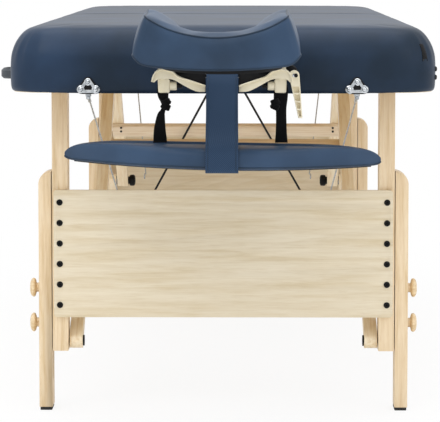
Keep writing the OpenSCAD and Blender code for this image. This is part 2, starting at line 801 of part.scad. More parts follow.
shelf_rings_share = [[0, 0.32], [0.12, 0.12], [0.32, 0.02], [0.5, 0],
    [0.7, 0.06], [0.86, 0.24], [0.96, 0.55], [1, 1.1]];
module shelf_cushion() {
    color(navy) at_end(false) skin([for (s = shelf_rings_share)
        shelf_plan(s[1] * shelf_cushion_t, shelf_cushion_z + s[0] * shelf_cushion_t)]);
}

module black_straps() {
    loop_r = rod_d / 2 + clear;
    top = shelf_cushion_z + shelf_cushion_t;
    color(black) at_end(false) both_sides() {
        translate([rod_x, 0, rod_h]) difference() {
            y_pin(strap_y - strap_w / 2, strap_y + strap_w / 2, loop_r + strap_t);
            y_pin(strap_y - strap_w, strap_y + strap_w, loop_r);
        }
        slab([rod_x - strap_w / 2, strap_y - strap_t / 2, top + clear],
            [rod_x + strap_w / 2, strap_y + strap_t / 2, rod_h - loop_r - strap_t / 2]);
    }
}

// A flat band of one thickness through points in the table's length and height
function turned(v) = [-v[1], v[0]];
function side_at(points, i, t) =
    let (n = len(points), a = unit(points[min(i + 1, n - 1)] - points[min(i, n - 2)]),
        b = unit(points[max(i, 1)] - points[max(i - 1, 0)]), m = unit(turned(a) + turned(b)))
        points[i] + m * t / 2 / (m * turned(a));
module band(points, width) {
    n = len(points);
    translate([-width / 2, 0, 0]) rotate([90, 0, 90]) linear_extrude(width)
        polygon(concat([for (i = [0 : n - 1]) side_at(points, i, strap_t)],
            [for (i = [n - 1 : -1 : 0]) side_at(points, i, -strap_t)]));
}

module middle_strap() {
    front = shelf_y + shelf_d + clear + strap_t / 2;
    below = shelf_low - clear - strap_t / 2;
    loop_r = shaft_r + clear + strap_t;
    outside = base_y + hub_r + clear + arm_t + swing_gap + strap_t / 2;
    color(navy) at_end(false)
        band(concat([for (a = [220 : -45 : 40]) [base_y + loop_r * cos(a), shaft_z + loop_r * sin(a)]],
            [[outside, shaft_z - hub_r - strap_t * 2], [front, shelf_cushion_z + shelf_cushion_t],
                [front, below], [front - shelf_d / 4, below]]), mid_strap_w);
}

cushion(false);  // near_cushion
deck(false);  // near_deck
rails(false);  // near_rails
leg_hinges(false);  // near_leg_hinges
brace_hinges(false);  // near_brace_hinges
cable_brackets(false);  // near_cable_brackets
cushion(true);  // far_cushion
deck(true);  // far_deck
rails(true);  // far_rails
leg_hinges(true);  // far_leg_hinges
brace_hinges(true);  // far_brace_hinges
cable_brackets(true);  // far_cable_brackets
fold_hinges(false);  // near_fold_hinges
fold_hinges(true);  // far_fold_hinges
carry_handle();
posts(false);  // near_posts
panel(false);  // near_panel
leg_screws(false);  // near_leg_screws
board(false, false);  // near_left_board
board(false, true);  // near_right_board
leg_knob(false, false, knob_zs[0]);  // near_left_lower_knob
leg_knob(false, false, knob_zs[1]);  // near_left_upper_knob
leg_knob(false, true, knob_zs[0]);  // near_right_lower_knob
leg_knob(false, true, knob_zs[1]);  // near_right_upper_knob
foot(false, false);  // near_left_foot
foot(false, true);  // near_right_foot
posts(true);  // far_posts
panel(true);  // far_panel
leg_screws(true);  // far_leg_screws
board(true, false);  // far_left_board
board(true, true);  // far_right_board
leg_knob(true, false, knob_zs[0]);  // far_left_lower_knob
leg_knob(true, false, knob_zs[1]);  // far_left_upper_knob
leg_knob(true, true, knob_zs[0]);  // far_right_lower_knob
leg_knob(true, true, knob_zs[1]);  // far_right_upper_knob
foot(true, false);  // far_left_foot
foot(true, true);  // far_right_foot
lower_struts(false);  // near_lower_struts
upper_struts(false);  // near_upper_struts
crossbar(false);  // near_crossbar
knee_bolts(false);  // near_knee_bolts
knee_knobs(false);  // near_knee_knobs
lower_struts(true);  // far_lower_struts
upper_struts(true);  // far_upper_struts
crossbar(true);  // far_crossbar
knee_bolts(true);  // far_knee_bolts
knee_knobs(true);  // far_knee_knobs
cables(false);  // near_cables
cables(true);  // far_cables
leg_cords();
cradle_rods();
cradle_base();
cradle_arms();
cradle_plate();
cam_lever();
face_pillow();
shelf_board();
shelf_cushion();
black_straps();
middle_strap();
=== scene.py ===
import json
import math
import bmesh
import bpy
from mathutils import Matrix, Vector, noise


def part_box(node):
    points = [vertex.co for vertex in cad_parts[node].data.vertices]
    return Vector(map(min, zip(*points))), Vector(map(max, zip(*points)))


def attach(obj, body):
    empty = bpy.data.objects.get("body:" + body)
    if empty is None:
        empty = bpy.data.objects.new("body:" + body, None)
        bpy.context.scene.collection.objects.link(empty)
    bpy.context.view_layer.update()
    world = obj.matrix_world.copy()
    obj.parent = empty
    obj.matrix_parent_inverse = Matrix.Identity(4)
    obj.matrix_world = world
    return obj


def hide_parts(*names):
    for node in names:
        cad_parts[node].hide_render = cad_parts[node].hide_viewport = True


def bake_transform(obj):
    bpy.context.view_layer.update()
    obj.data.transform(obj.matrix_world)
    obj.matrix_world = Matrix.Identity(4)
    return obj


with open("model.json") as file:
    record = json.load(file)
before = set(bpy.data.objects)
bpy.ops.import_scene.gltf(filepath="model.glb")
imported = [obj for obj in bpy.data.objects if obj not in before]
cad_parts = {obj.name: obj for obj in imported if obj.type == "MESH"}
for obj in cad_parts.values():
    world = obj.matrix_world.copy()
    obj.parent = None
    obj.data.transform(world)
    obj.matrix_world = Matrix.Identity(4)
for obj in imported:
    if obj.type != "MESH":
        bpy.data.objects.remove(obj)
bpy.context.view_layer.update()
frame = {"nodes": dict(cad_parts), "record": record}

nodes = frame["nodes"]
scene = bpy.context.scene
scene.view_settings.view_transform = "Standard"
mm = 0.001


# colours are written as sRGB hex and turned to linear here
def colour(hexText):
    parts = [int(hexText[i:i + 2], 16) / 255 for i in (1, 3, 5)]
    return tuple(p / 12.92 if p <= 0.04045 else ((p + 0.055) / 1.055) ** 2.4 for p in parts) + (1.0,)


# fixed places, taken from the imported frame
postLow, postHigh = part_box("near_posts")
cushionLow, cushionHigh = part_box("near_cushion")
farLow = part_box("far_cushion")[0]
midX = (postLow.x + postHigh.x) / 2
foldY = (cushionHigh.y + farLow.y) / 2
legY = (postLow.y + postHigh.y) / 2
topZ = cushionHigh.z
underZ = cushionLow.z
strutLow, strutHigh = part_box("near_lower_struts")
strutLean = math.atan2(strutHigh.z - strutLow.z - 28 * mm, strutHigh.y - strutLow.y - 28 * mm)


# the ends of the table, its sides, and its four corners: is it far, the end's name, side and the corner's name
ends = ((False, "near"), (True, "far"))
sides = ((-1, "left"), (1, "right"))
corners = [(far, end, side, end + word.title()) for far, end in ends for side, word in sides]


# a place in millimetres: across the table from its middle line, outwards from the fold, above the floor
def at(x, out, z, far=False):
    return Vector((midX + x * mm, foldY + (out if far else -out) * mm, z * mm))


# camera: level line and vanishing point measured in the photo, 440 by 422 pixels
cameraView = {
    "imageWidth": 440,
    "imageHeight": 422,
    "vanishX": 243.0,
    "horizonY": -43.0,
    "distance": 4.5,         # from the near legs, metres
    "pixelsPerMetre": 544.0,  # at the near legs
    "besideCentre": 0.036,
    "height": 0.836,
    "shiftY": -0.12,
}


def makeCamera():
    c = cameraView
    focal = c["pixelsPerMetre"] * c["distance"]
    cam = bpy.data.cameras.new("camera")
    cam.sensor_width = 36.0
    cam.lens = focal / c["imageWidth"] * cam.sensor_width
    cam.shift_y = c["shiftY"]
    cam.clip_end = 50
    obj = bpy.data.objects.new("camera", cam)
    scene.collection.objects.link(obj)
    right = c["vanishX"] - c["imageWidth"] / 2
    down = c["imageHeight"] / 2 - c["horizonY"] + c["shiftY"] * c["imageWidth"]
    yaw = math.atan(right / focal)
    pitch = math.atan(down / focal)
    obj.location = (midX + c["besideCentre"], legY - c["distance"], c["height"])
    obj.rotation_euler = (math.pi / 2 - pitch, 0, yaw)
    scene.camera = obj


makeCamera()
print("camera made")


# small helpers for materials
def newMaterial(name):
    m = bpy.data.materials.new(name)
    m.use_nodes = True
    m.node_tree.nodes.clear()
    out = m.node_tree.nodes.new("ShaderNodeOutputMaterial")
    shader = m.node_tree.nodes.new("ShaderNodeBsdfPrincipled")
    m.node_tree.links.new(shader.outputs[0], out.inputs[0])
    return m, shader


# adds one node, sets its values and links: inputs by name, an output is (node, socket)
def addNode(m, kind, settings=None, **inputs):
    node = m.node_tree.nodes.new(kind)
    for key, value in (settings or {}).items():
        setattr(node, key, value)
    for key, value in inputs.items():
        socket = node.inputs[int(key[1:])] if key[0] == "i" and key[1:].isdigit() else node.inputs[key]
        if isinstance(value, tuple) and len(value) == 2 and hasattr(value[0], "outputs"):
            m.node_tree.links.new(value[0].outputs[value[1]], socket)
        else:
            socket.default_value = value
    return node


def ramp(m, source, stops):
    node = addNode(m, "ShaderNodeValToRGB", Fac=source)
    bar = node.color_ramp
    while len(bar.elements) < len(stops):
        bar.elements.new(0.5)
    for element, (place, hexText) in zip(bar.elements, stops):
        element.position = place
        element.color = colour(hexText)
    return node


# object coordinates, turned and then drawn out along each axis by a factor
def placed(m, stretch=(1, 1, 1), turn=(0, 0, 0)):
    where = addNode(m, "ShaderNodeTexCoord")
    return addNode(m, "ShaderNodeMapping", {"vector_type": "TEXTURE"}, Vector=(where, "Object"), Scale=stretch,
        Rotation=turn)


def bumped(m, shader, height, distance, strength=1.0):
    bump = addNode(m, "ShaderNodeBump", Height=height, Distance=distance, Strength=strength)
    m.node_tree.links.new(bump.outputs[0], shader.inputs["Normal"])


# the base colour and the shader's plain values; an underscore stands for a space
def finishShader(m, shader, tone, **values):
    m.node_tree.links.new(tone, shader.inputs["Base Color"])
    for key, value in values.items():
        shader.inputs[key.replace("_", " ")].default_value = value


# upholstery vinyl, embossed with a fine leather grain: cells about 1.2 mm, drawn at 2 mm so that they show
def makeVinyl(name, dark, mid, light, grain=2.0 * mm):
    m, shader = newMaterial(name)
    spot = placed(m)
    cells = addNode(m, "ShaderNodeTexVoronoi", {"feature": "DISTANCE_TO_EDGE"}, Vector=(spot, 0), Scale=1 / grain)
    cloud = addNode(m, "ShaderNodeTexNoise", Vector=(spot, 0), Scale=7.0, Detail=4.0)
    mottle = ramp(m, (cloud, 0), [(0.3, dark), (0.5, mid), (0.75, light)])
    finishShader(m, shader, mottle.outputs[0], Roughness=0.4, Specular_IOR_Level=0.16)
    bumped(m, shader, (cells, 0), 0.12 * mm, 0.5)
    return m


# lacquered beech: straight grain with short pores, grain lines about 4 mm apart, along one axis of the object
def makeWood(name, axis, pale, mid, deep, lineGap=4.0 * mm, lean=0.0):
    m, shader = newMaterial(name)
    stretch = [1.0, 1.0, 1.0]
    stretch[axis] = 16.0
    spot = placed(m, tuple(stretch), (lean, 0, 0))
    grain = addNode(m, "ShaderNodeTexNoise", Vector=(spot, 0), Scale=0.6 / lineGap, Detail=6.0, Roughness=0.62,
        Distortion=0.4)
    pores = addNode(m, "ShaderNodeTexNoise", Vector=(spot, 0), Scale=3.0 / lineGap, Detail=2.0)
    base = ramp(m, (grain, 0), [(0.32, deep), (0.47, mid), (0.62, pale)])
    flecks = ramp(m, (pores, 0), [(0.36, deep), (0.46, "#ffffff")])
    mix = addNode(m, "ShaderNodeMix", {"data_type": "RGBA", "blend_type": "MULTIPLY"}, Factor=0.12,
        i6=(base, 0), i7=(flecks, 0))
    finishShader(m, shader, mix.outputs[2], Roughness=0.42, Coat_Weight=0.2, Coat_Roughness=0.25)
    bumped(m, shader, (pores, 0), 0.05 * mm, 0.4)
    return m


# nylon webbing, threads 1.1 mm apart across the band, drawn at 1.6 mm
def makeWebbing(name, dark, light, thread=1.6 * mm):
    m, shader = newMaterial(name)
    spot = placed(m)
    across = addNode(m, "ShaderNodeTexWave", {"bands_direction": "DIAGONAL"}, Vector=(spot, 0),
        Scale=0.3 / thread, Distortion=0.5, Detail=1.0)
    along = addNode(m, "ShaderNodeTexWave", {"bands_direction": "Z"}, Vector=(spot, 0), Scale=0.3 / thread)
    weave = addNode(m, "ShaderNodeMath", {"operation": "MULTIPLY"}, i0=(across, 1), i1=(along, 1))
    tone = ramp(m, (weave, 0), [(0.0, dark), (1.0, light)])
    finishShader(m, shader, tone.outputs[0], Roughness=0.8, Specular_IOR_Level=0.12, Sheen_Weight=0.08)
    bumped(m, shader, (weave, 0), 0.3 * mm, 0.7)
    return m


# moulded plastic with a fine spark-eroded texture, about 0.8 mm
def makePlastic(name, base, worn, rough, gloss=0.5):
    m, shader = newMaterial(name)
    spot = placed(m)
    pits = addNode(m, "ShaderNodeTexNoise", Vector=(spot, 0), Scale=1 / (0.8 * mm), Detail=2.0)
    cloud = addNode(m, "ShaderNodeTexNoise", Vector=(spot, 0), Scale=25.0, Detail=3.0)
    tone = ramp(m, (cloud, 0), [(0.35, base), (0.7, worn)])
    finishShader(m, shader, tone.outputs[0], Roughness=rough, Specular_IOR_Level=gloss)
    bumped(m, shader, (pits, 0), 0.04 * mm, 0.5)
    return m


# polished or drawn steel, with fine handling marks in the gloss
def makeSteel(name, base, rough):
    m, shader = newMaterial(name)
    spot = placed(m)
    marks = addNode(m, "ShaderNodeTexNoise", Vector=(spot, 0), Scale=180.0, Detail=3.0)
    level = addNode(m, "ShaderNodeMapRange", Value=(marks, 0), i3=rough * 0.7, i4=rough * 1.4)
    tone = ramp(m, (marks, 0), [(0.3, base), (0.8, "#dfe2e4")])
    m.node_tree.links.new(level.outputs[0], shader.inputs["Roughness"])
    finishShader(m, shader, tone.outputs[0], Metallic=1.0)
    return m


# the top's vinyl is the cradle's navy vinyl made darker: painted shade on the cushion's sides, which curve under
shadedTopVinyl = makeVinyl("navyTopVinylPaintedShade", "#1b2836", "#213145", "#293c54")
navyVinyl = makeVinyl("navyCradleVinyl", "#2a3a4d", "#32455c", "#3b506a")
backingVinyl = makeVinyl("blackBackingVinyl", "#101216", "#16191e", "#1d2127", 1.4 * mm)
beechUpright = makeWood("lacqueredBeechUpright", 2, "#edd7b4", "#e6cda6", "#dabd90")
beechAcross = makeWood("lacqueredBeechAcross", 0, "#ecd9bc", "#e4cdac", "#d8bc94")
# the struts' beech is paler than the posts': painted light on the struts, whose inner faces stand in shade
strutTonesPaintedLight = ("#f6e6c8", "#f0dcb8", "#e2c79a")
litBeechNearStruts = makeWood("lacqueredBeechNearStrutsPaintedLight", 1, *strutTonesPaintedLight, lean=strutLean)
litBeechFarStruts = makeWood("lacqueredBeechFarStrutsPaintedLight", 1, *strutTonesPaintedLight, lean=-strutLean)
beechKnob = makeWood("turnedBeech", 0, "#ecd6b0", "#e0c598", "#cba976", 3 * mm)
beechPanel = makeWood("lacqueredBeechPanel", 0, "#e5d8bd", "#dfd0b2", "#d6c4a0", 7 * mm)
plywood = makeWood("sandedBirchPly", 1, "#dcc49b", "#cfb588", "#b99b6c", 6 * mm)
pipingVinyl = makeVinyl("navyPipingVinyl", "#222e3c", "#293747", "#334457", 1.2 * mm)
navyWebbing = makeWebbing("navyNylonWebbing", "#26374d", "#415873")
blackWebbing = makeWebbing("blackNylonWebbing", "#060607", "#161618")
blackPlastic = makePlastic("blackNylonMoulded", "#0b0b0c", "#161617", 0.5, 0.18)
handlePlastic = makePlastic("charcoalPlasticMoulded", "#2c3136", "#3a4046", 0.5)
creamPlastic = makePlastic("creamPolyamideMoulded", "#e6dab8", "#f0e6cb", 0.4)
footRubber = makePlastic("blackRubberMoulded", "#1a1a1a", "#2b2a29", 0.75)
chromeSteel = makeSteel("polishedChromeSteel", "#9da2a6", 0.2)
cableSteel = makeSteel("strandedCableSteel", "#9ea2a6", 0.34)
print("materials made")

# each material's slot in the export, and the CAD nodes it is for, by the ends of their names
finishTable = (
    (shadedTopVinyl, "navy_vinyl", "cushion"), (navyVinyl, "navy_vinyl", "face_pillow"), (pipingVinyl, "navy_vinyl", ""),
    (backingVinyl, "navy_vinyl", "shelf_board"), (plywood, "plywood", "deck"), (beechPanel, "panel_beech", "panel"),
    (beechAcross, "beech", "rails knob crossbar"), (beechUpright, "beech", "posts board"), (beechKnob, "beech", ""),
    (litBeechNearStruts, "beech", "near_lower_struts near_upper_struts"),
    (litBeechFarStruts, "beech", "far_lower_struts far_upper_struts"),
    (chromeSteel, "chrome_steel", "leg_hinges brace_hinges cable_brackets fold_hinges knee_bolts cradle_rods"),
    (cableSteel, "steel_cable", "cables"), (handlePlastic, "handle_plastic", "carry_handle"),
    (blackPlastic, "black_plastic", "leg_screws knee_knobs cradle_plate"), (footRubber, "foot_rubber", "foot"),
    (creamPlastic, "cream_plastic", "cradle_base cradle_arms cam_lever"),
    (blackWebbing, "black_webbing", "leg_cords black_straps"), (navyWebbing, "navy_webbing", "middle_strap"),
)
finishes = {key: material for material, _, keys in finishTable for key in keys.split()}


# the value in a table whose key is the longest ending of a node's name
def longestMatch(table, name):
    keys = [key for key in table if ("_" + name).endswith("_" + key)]
    return table[max(keys, key=len)] if keys else None


for name, obj in nodes.items():
    obj.data.materials.clear()
    obj.data.materials.append(longestMatch(finishes, name))


# small helpers for pieces
def deselectAll():
    if bpy.context.object and bpy.context.object.mode != "OBJECT":
        bpy.ops.object.mode_set(mode="OBJECT")
    bpy.ops.object.select_all(action="DESELECT")


def activate(obj):
    deselectAll()
    obj.select_set(True)
    bpy.context.view_layer.objects.active = obj


def applyTransform():
    bpy.ops.object.transform_apply(location=True, rotation=True, scale=True)


def editAll():
    bpy.ops.object.mode_set(mode="EDIT")
    bpy.ops.mesh.select_all(action="SELECT")


def finishPiece(obj, material, body, replaced=()):
    activate(obj)
    applyTransform()
    obj.data.materials.clear()
    obj.data.materials.append(material)
    if body:
        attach(obj, body)
    if replaced:
        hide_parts(*replaced)
    return obj


def addModifier(obj, kind, **settings):
    activate(obj)
    mod = obj.modifiers.new(kind.lower(), kind)
    for key, value in settings.items():
        setattr(mod, key, value)
    bpy.ops.object.modifier_apply(modifier=mod.name)


def bevelEdges(obj, width, segments, degrees):
    addModifier(obj, "BEVEL", width=width, segments=segments, limit_method="ANGLE", angle_limit=math.radians(degrees))


# smooth shading of the active piece, but for its edges above an angle
def smoothBy(degrees):
    bpy.ops.object.shade_smooth_by_angle(angle=math.radians(degrees))


shelfLean = 0.018            # the arm shelf hangs a little lower on its right
jointRecess = 1.3 * mm       # a dark joint between each post and its board
panelCorner = 5.0 * mm


# rounds the four outer corners of an upright panel
def roundCorners(obj, radius):
    mesh = bmesh.new()
    mesh.from_mesh(obj.data)
    x0, x1 = min(v.co.x for v in mesh.verts), max(v.co.x for v in mesh.verts)
    z0, z1 = min(v.co.z for v in mesh.verts), max(v.co.z for v in mesh.verts)
    corners = [e for e in mesh.edges if all(min(v.co.x - x0, x1 - v.co.x) < 0.1 * mm
        and min(v.co.z - z0, z1 - v.co.z) < 0.1 * mm for v in e.verts)]
    bmesh.ops.bevel(mesh, geom=corners, offset=radius, segments=5, profile=0.5, affect="EDGES")
    mesh.to_mesh(obj.data)
    mesh.free()


# a copy of a CAD node with eased edges, which stands for it
def easeEdges(name, width):
    source = nodes[name]
    obj = source.copy()
    obj.data = source.data.copy()
    obj.parent = None
    for key in list(obj.keys()):
        del obj[key]
    obj.name = name + "_eased"
    scene.collection.objects.link(obj)
    activate(obj)
    editAll()
    bpy.ops.mesh.remove_doubles(threshold=0.00001)
    bpy.ops.mesh.dissolve_limited(angle_limit=math.radians(2))
    bpy.ops.object.mode_set(mode="OBJECT")
    if name.endswith("_panel"):
        roundCorners(obj, panelCorner)
    bevelEdges(obj, width, 2, 40)
    smoothBy(35)
    if name.endswith("_board") and name.startswith(("near_", "far_")):
        inner = min(abs(v.co.x - midX) for v in obj.data.vertices)
        for v in obj.data.vertices:
            if abs(v.co.x - midX) < inner + 0.5 * mm:
                v.co.x += math.copysign(jointRecess, v.co.x - midX)
    if name == "shelf_board":
        for v in obj.data.vertices:
            v.co.z -= (v.co.x - midX) * shelfLean
    return finishPiece(obj, longestMatch(finishes, name), bodyOf(name), (name,))


def bodyOf(name):
    return next(b for b, members in frame["record"]["behaviour"]["bodies"].items() if name in members)


# how wide each CAD node's edges are eased, in millimetres
easedEdges = {key: width * mm for width, keys in (
    (3.0, "board"), (2.5, "posts lower_struts upper_struts"), (1.5, "crossbar panel cradle_plate"), (1.2, "foot"),
    (1.0, "rails shelf_board"), (0.8, "cam_lever deck leg_hinges brace_hinges"),
    (0.5, "cradle_rods leg_screws knee_bolts"), (0.3, "fold_hinges"),
) for key in keys.split()}
for name in sorted(nodes):
    if longestMatch(easedEdges, name):
        easeEdges(name, longestMatch(easedEdges, name))
print("wood and plastic edges eased")


# small helpers for meshes
def meshPiece(name, points, faces):
    mesh = bpy.data.meshes.new(name)
    mesh.from_pydata([tuple(p) for p in points], [], faces)
    mesh.update()
    obj = bpy.data.objects.new(name, mesh)
    scene.collection.objects.link(obj)
    return obj


def faceOutwards(obj):
    activate(obj)
    editAll()
    bpy.ops.mesh.normals_make_consistent(inside=False)
    bpy.ops.object.mode_set(mode="OBJECT")


# closed skin over loops that all have the same number of points; with an axis, the index of a point on the loops'
# line of symmetry, the ends are closed by rungs from side to side
def skinOver(name, loops, axis=None):
    n = len(loops[0])
    points = [p for loop in loops for p in loop]
    faces = []
    for i in range(len(loops) - 1):
        for j in range(n):
            k = (j + 1) % n
            faces.append((i * n + j, i * n + k, (i + 1) * n + k, (i + 1) * n + j))
    if axis is None:
        faces.append(tuple(range(n - 1, -1, -1)))
        faces.append(tuple(range((len(loops) - 1) * n, len(loops) * n)))
    else:
        for first in (0, (len(loops) - 1) * n):
            for i in range(n // 2):
                rung = [(axis + i) % n, (axis + i + 1) % n, (axis - i - 1) % n, (axis - i) % n]
                faces.append(tuple(first + k for k in dict.fromkeys(rung)))
    obj = meshPiece(name, points, faces)
    faceOutwards(obj)
    return obj


# a smooth row through rows of numbers, with steps between each two
def smoothRow(rows, steps):
    rows = [tuple(r) for r in rows]
    made = []
    for i in range(len(rows) - 1):
        a, b, c, d = rows[max(i - 1, 0)], rows[i], rows[i + 1], rows[min(i + 2, len(rows) - 1)]
        for k in range(steps):
            t = k / steps
            made.append(tuple(0.5 * (2 * q + (r - p) * t + (2 * p - 5 * q + 4 * r - w) * t * t
                + (3 * q - p - 3 * r + w) * t ** 3) for p, q, r, w in zip(a, b, c, d)))
    made.append(rows[-1])
    return made


# angles once round, in a number of steps
def turnsOf(steps):
    return [math.tau * k / steps for k in range(steps + 1)]


# a round tube along points
def tubeAlong(name, points, radius, count):
    points = [Vector(p) for p in points]
    side = None
    loops = []
    for i, p in enumerate(points):
        way = (points[min(i + 1, len(points) - 1)] - points[max(i - 1, 0)]).normalized()
        if side is None:
            side = way.orthogonal().normalized()
        side = (side - way * side.dot(way)).normalized()
        up = way.cross(side)
        loops.append([p + radius * (math.cos(a) * side + math.sin(a) * up) for a in turnsOf(count)[:-1]])
    obj = skinOver(name, loops)
    activate(obj)
    smoothBy(50)
    return obj


# a flat band: stations of place, direction across it, width and thickness
def bandAlong(name, stations, cornerShare=0.3):
    loops = []
    for i, (p, across, width, thick) in enumerate(stations):
        way = (Vector(stations[min(i + 1, len(stations) - 1)][0]) - Vector(stations[max(i - 1, 0)][0])).normalized()
        across = (across - way * across.dot(way)).normalized()
        flat = way.cross(across)
        c = thick * cornerShare
        shape = [(-width / 2 + c, -thick / 2), (width / 2 - c, -thick / 2), (width / 2, -thick / 2 + c),
            (width / 2, thick / 2 - c), (width / 2 - c, thick / 2), (-width / 2 + c, thick / 2),
            (-width / 2, thick / 2 - c), (-width / 2, -thick / 2 + c)]
        loops.append([Vector(p) + across * u + flat * v for u, v in shape])
    obj = skinOver(name, loops)
    activate(obj)
    smoothBy(40)
    return obj


# a turned piece: a circle extruded and scaled ring by ring, (radius, height) in millimetres
def turned(name, profile, place, aim, count=32):
    deselectAll()
    bpy.ops.mesh.primitive_circle_add(vertices=count, radius=profile[0][0] * mm, fill_type="NGON",
        location=(0, 0, profile[0][1] * mm))
    obj = bpy.context.object
    obj.name = name
    applyTransform()
    editAll()
    for (r0, z0), (r1, z1) in zip(profile, profile[1:]):
        bpy.ops.mesh.extrude_region_move(TRANSFORM_OT_translate={"value": (0, 0, (z1 - z0) * mm)})
        bpy.ops.transform.resize(value=(r1 / r0, r1 / r0, 1), center_override=(0, 0, z1 * mm))
    faceOutwards(obj)
    smoothBy(35)
    obj.matrix_world = Matrix.Translation(place) @ Vector(aim).to_track_quat("Z", "Y").to_matrix().to_4x4()
    return obj


# air pressure in a pad: points below a height are held, and the cap on a point's way grows over the ramp above it
def inflate(obj, pressure, cap, heldBelow, ramp=8 * mm):
    start = [v.co.copy() for v in obj.data.vertices]
    group = obj.vertex_groups.new(name="held")
    group.add([i for i, p in enumerate(start) if p.z < heldBelow], 1.0, "ADD")
    activate(obj)
    cloth = obj.modifiers.new("cloth", "CLOTH")
    cloth.settings.use_pressure = True
    cloth.settings.uniform_pressure_force = pressure
    cloth.settings.effector_weights.gravity = 0
    cloth.settings.vertex_group_mass = "held"
    cloth.settings.quality = 5
    cloth.point_cache.frame_start = 1
    cloth.point_cache.frame_end = 20
    for frameNumber in range(1, 21):
        scene.frame_set(frameNumber)
    bpy.ops.object.modifier_apply(modifier=cloth.name)
    for v, was in zip(obj.data.vertices, start):
        move = v.co - was
        room = cap * min(1.0, max(0.0, (was.z - heldBelow) / ramp))
        if move.length > room:
            v.co = was + move.normalized() * room
    scene.frame_set(1)
    obj.vertex_groups.clear()
    addModifier(obj, "SMOOTH", factor=0.5, iterations=3)


# a quarter of a circle from an angle on, in degrees
def quarter(cx, cy, r, start, steps):
    angles = [math.radians(start + 90 * k / steps) for k in range(steps + 1)]
    return [(cx + r * math.cos(a), cy + r * math.sin(a)) for a in angles]


# a rounded rectangle at one height, its straight sides divided
def outline(halfX, out0, out1, foldRadius, endRadius, z, far=False, steps=8, gaps=34):
    end, fold = halfX - endRadius, halfX - foldRadius
    endOut, foldOut = out1 - endRadius, out0 + foldRadius
    arcs = [quarter(end, endOut, endRadius, 0, steps), quarter(-end, endOut, endRadius, 90, steps),
        quarter(-fold, foldOut, foldRadius, 180, steps), quarter(fold, foldOut, foldRadius, 270, steps)]
    points = []
    for arc, after in zip(arcs, arcs[1:] + arcs[:1]):
        (x0, y0), (x1, y1) = arc[-1], after[0]
        points += arc + [(x0 + (x1 - x0) * k / gaps, y0 + (y1 - y0) * k / gaps) for k in range(1, gaps)]
    return [at(x, y, z, far) for x, y in points]


# upholstered halves of the top: foam under vinyl, wrapped down round the frame
topPad = {
    "halfWidth": (cushionHigh.x - cushionLow.x) / 2 / mm,
    "length": (foldY - cushionLow.y) / mm,
    "low": underZ / mm - 1.6,
    "height": (topZ - underZ) / mm,
    "foldGap": 1.0,
    "cornerRadius": 70.0,
    "foldRadius": 8.4,
    "foldShare": 0.12,       # share of the end's inset kept beside the fold
    # share of the height, and inset from the largest outline
    "profile": [(0.0, 7.0), (0.02, 4.4), (0.05, 2.0), (0.1, 0.8), (0.2, 0.2), (0.36, 0), (0.5, 0.6), (0.6, 2.2),
        (0.7, 5.5), (0.78, 10.0), (0.84, 14.5), (0.89, 19.5), (0.93, 25), (0.96, 31), (0.98, 38), (0.993, 50),
        (0.999, 75), (1.0, 130), (1.0, 200), (1.0, 290), (1.0, 362)],
    "pressure": 0.4,
    "softness": 1.6,
    "softRise": 40.0,
    "openAtFold": 9.0,       # no wall this near the fold, below the deck's top
    "unevenness": 0.9,
    "pleatDepth": 2.4,
    "pleatBand": (0.4, 0.96),
    "pleatsPerTurn": 17,
    "wall": 6.4,
    "deckTop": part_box("near_deck")[1].z / mm,
}


def makeTopPad():
    p = topPad
    loops = []
    for share, inset in smoothRow(p["profile"], 2):
        loops.append(outline(p["halfWidth"] - inset, p["foldGap"] + inset * p["foldShare"], p["length"] - inset,
            p["foldRadius"], max(p["cornerRadius"] - inset / 2, p["foldRadius"]), p["low"] + share * p["height"]))
    obj = skinOver("nearPad", loops, 25)
    inflate(obj, p["pressure"], p["softness"] * mm, (p["low"] + p["height"] / 2) * mm, p["softRise"] * mm)
    addModifier(obj, "SUBSURF", levels=1)
    puckerCorners(obj)
    mesh = bmesh.new()
    mesh.from_mesh(obj.data)
    foldEdge = foldY - p["openAtFold"] * mm
    gone = [f for f in mesh.faces if (f.normal.z < -0.8 and f.calc_center_median().z < underZ + 1 * mm)
        or (f.calc_center_median().y > foldEdge and f.calc_center_median().z < p["deckTop"] * mm)]
    bmesh.ops.delete(mesh, geom=gone, context="FACES")
    mesh.to_mesh(obj.data)
    mesh.free()
    addModifier(obj, "SOLIDIFY", thickness=p["wall"] * mm, offset=-1.0, use_rim=True)
    bpy.ops.object.shade_smooth()
    return obj


# shallow pleats where the vinyl is drawn round a corner, and a soft unevenness over the foam
def puckerCorners(obj):
    p = topPad
    radius = p["cornerRadius"]
    low, high = p["pleatBand"]
    for v in obj.data.vertices:
        x = (v.co.x - midX) / mm
        out = (foldY - v.co.y) / mm
        share = (v.co.z / mm - p["low"]) / p["height"]
        dx = abs(x) - (p["halfWidth"] - radius)
        dy = out - (p["length"] - radius)
        v.co.z += p["unevenness"] * mm * noise.noise(Vector((v.co.x * 6, v.co.y * 6, 1.0))) * max(0.0, share - 0.5)
        if dx <= 0 or dy <= 0 or share < low or share > high:
            continue
        angle = math.atan2(dy, dx)
        weight = math.sin((share - low) / (high - low) * math.pi) * math.sin(2 * angle)
        wave = math.cos(angle * p["pleatsPerTurn"] + math.copysign(1, x))
        depth = p["pleatDepth"] * mm * weight * (0.5 + 0.5 * wave)
        away = Vector((math.copysign(dx, x), -dy, 0)).normalized()
        v.co -= away * depth


def mirroredFar(obj, name):
    copy = obj.copy()
    copy.data = obj.data.copy()
    copy.name = name
    scene.collection.objects.link(copy)
    copy.data.transform(Matrix.Translation((0, 2 * foldY, 0)) @ Matrix.Scale(-1, 4, (0, 1, 0)))
    copy.data.flip_normals()
    return copy


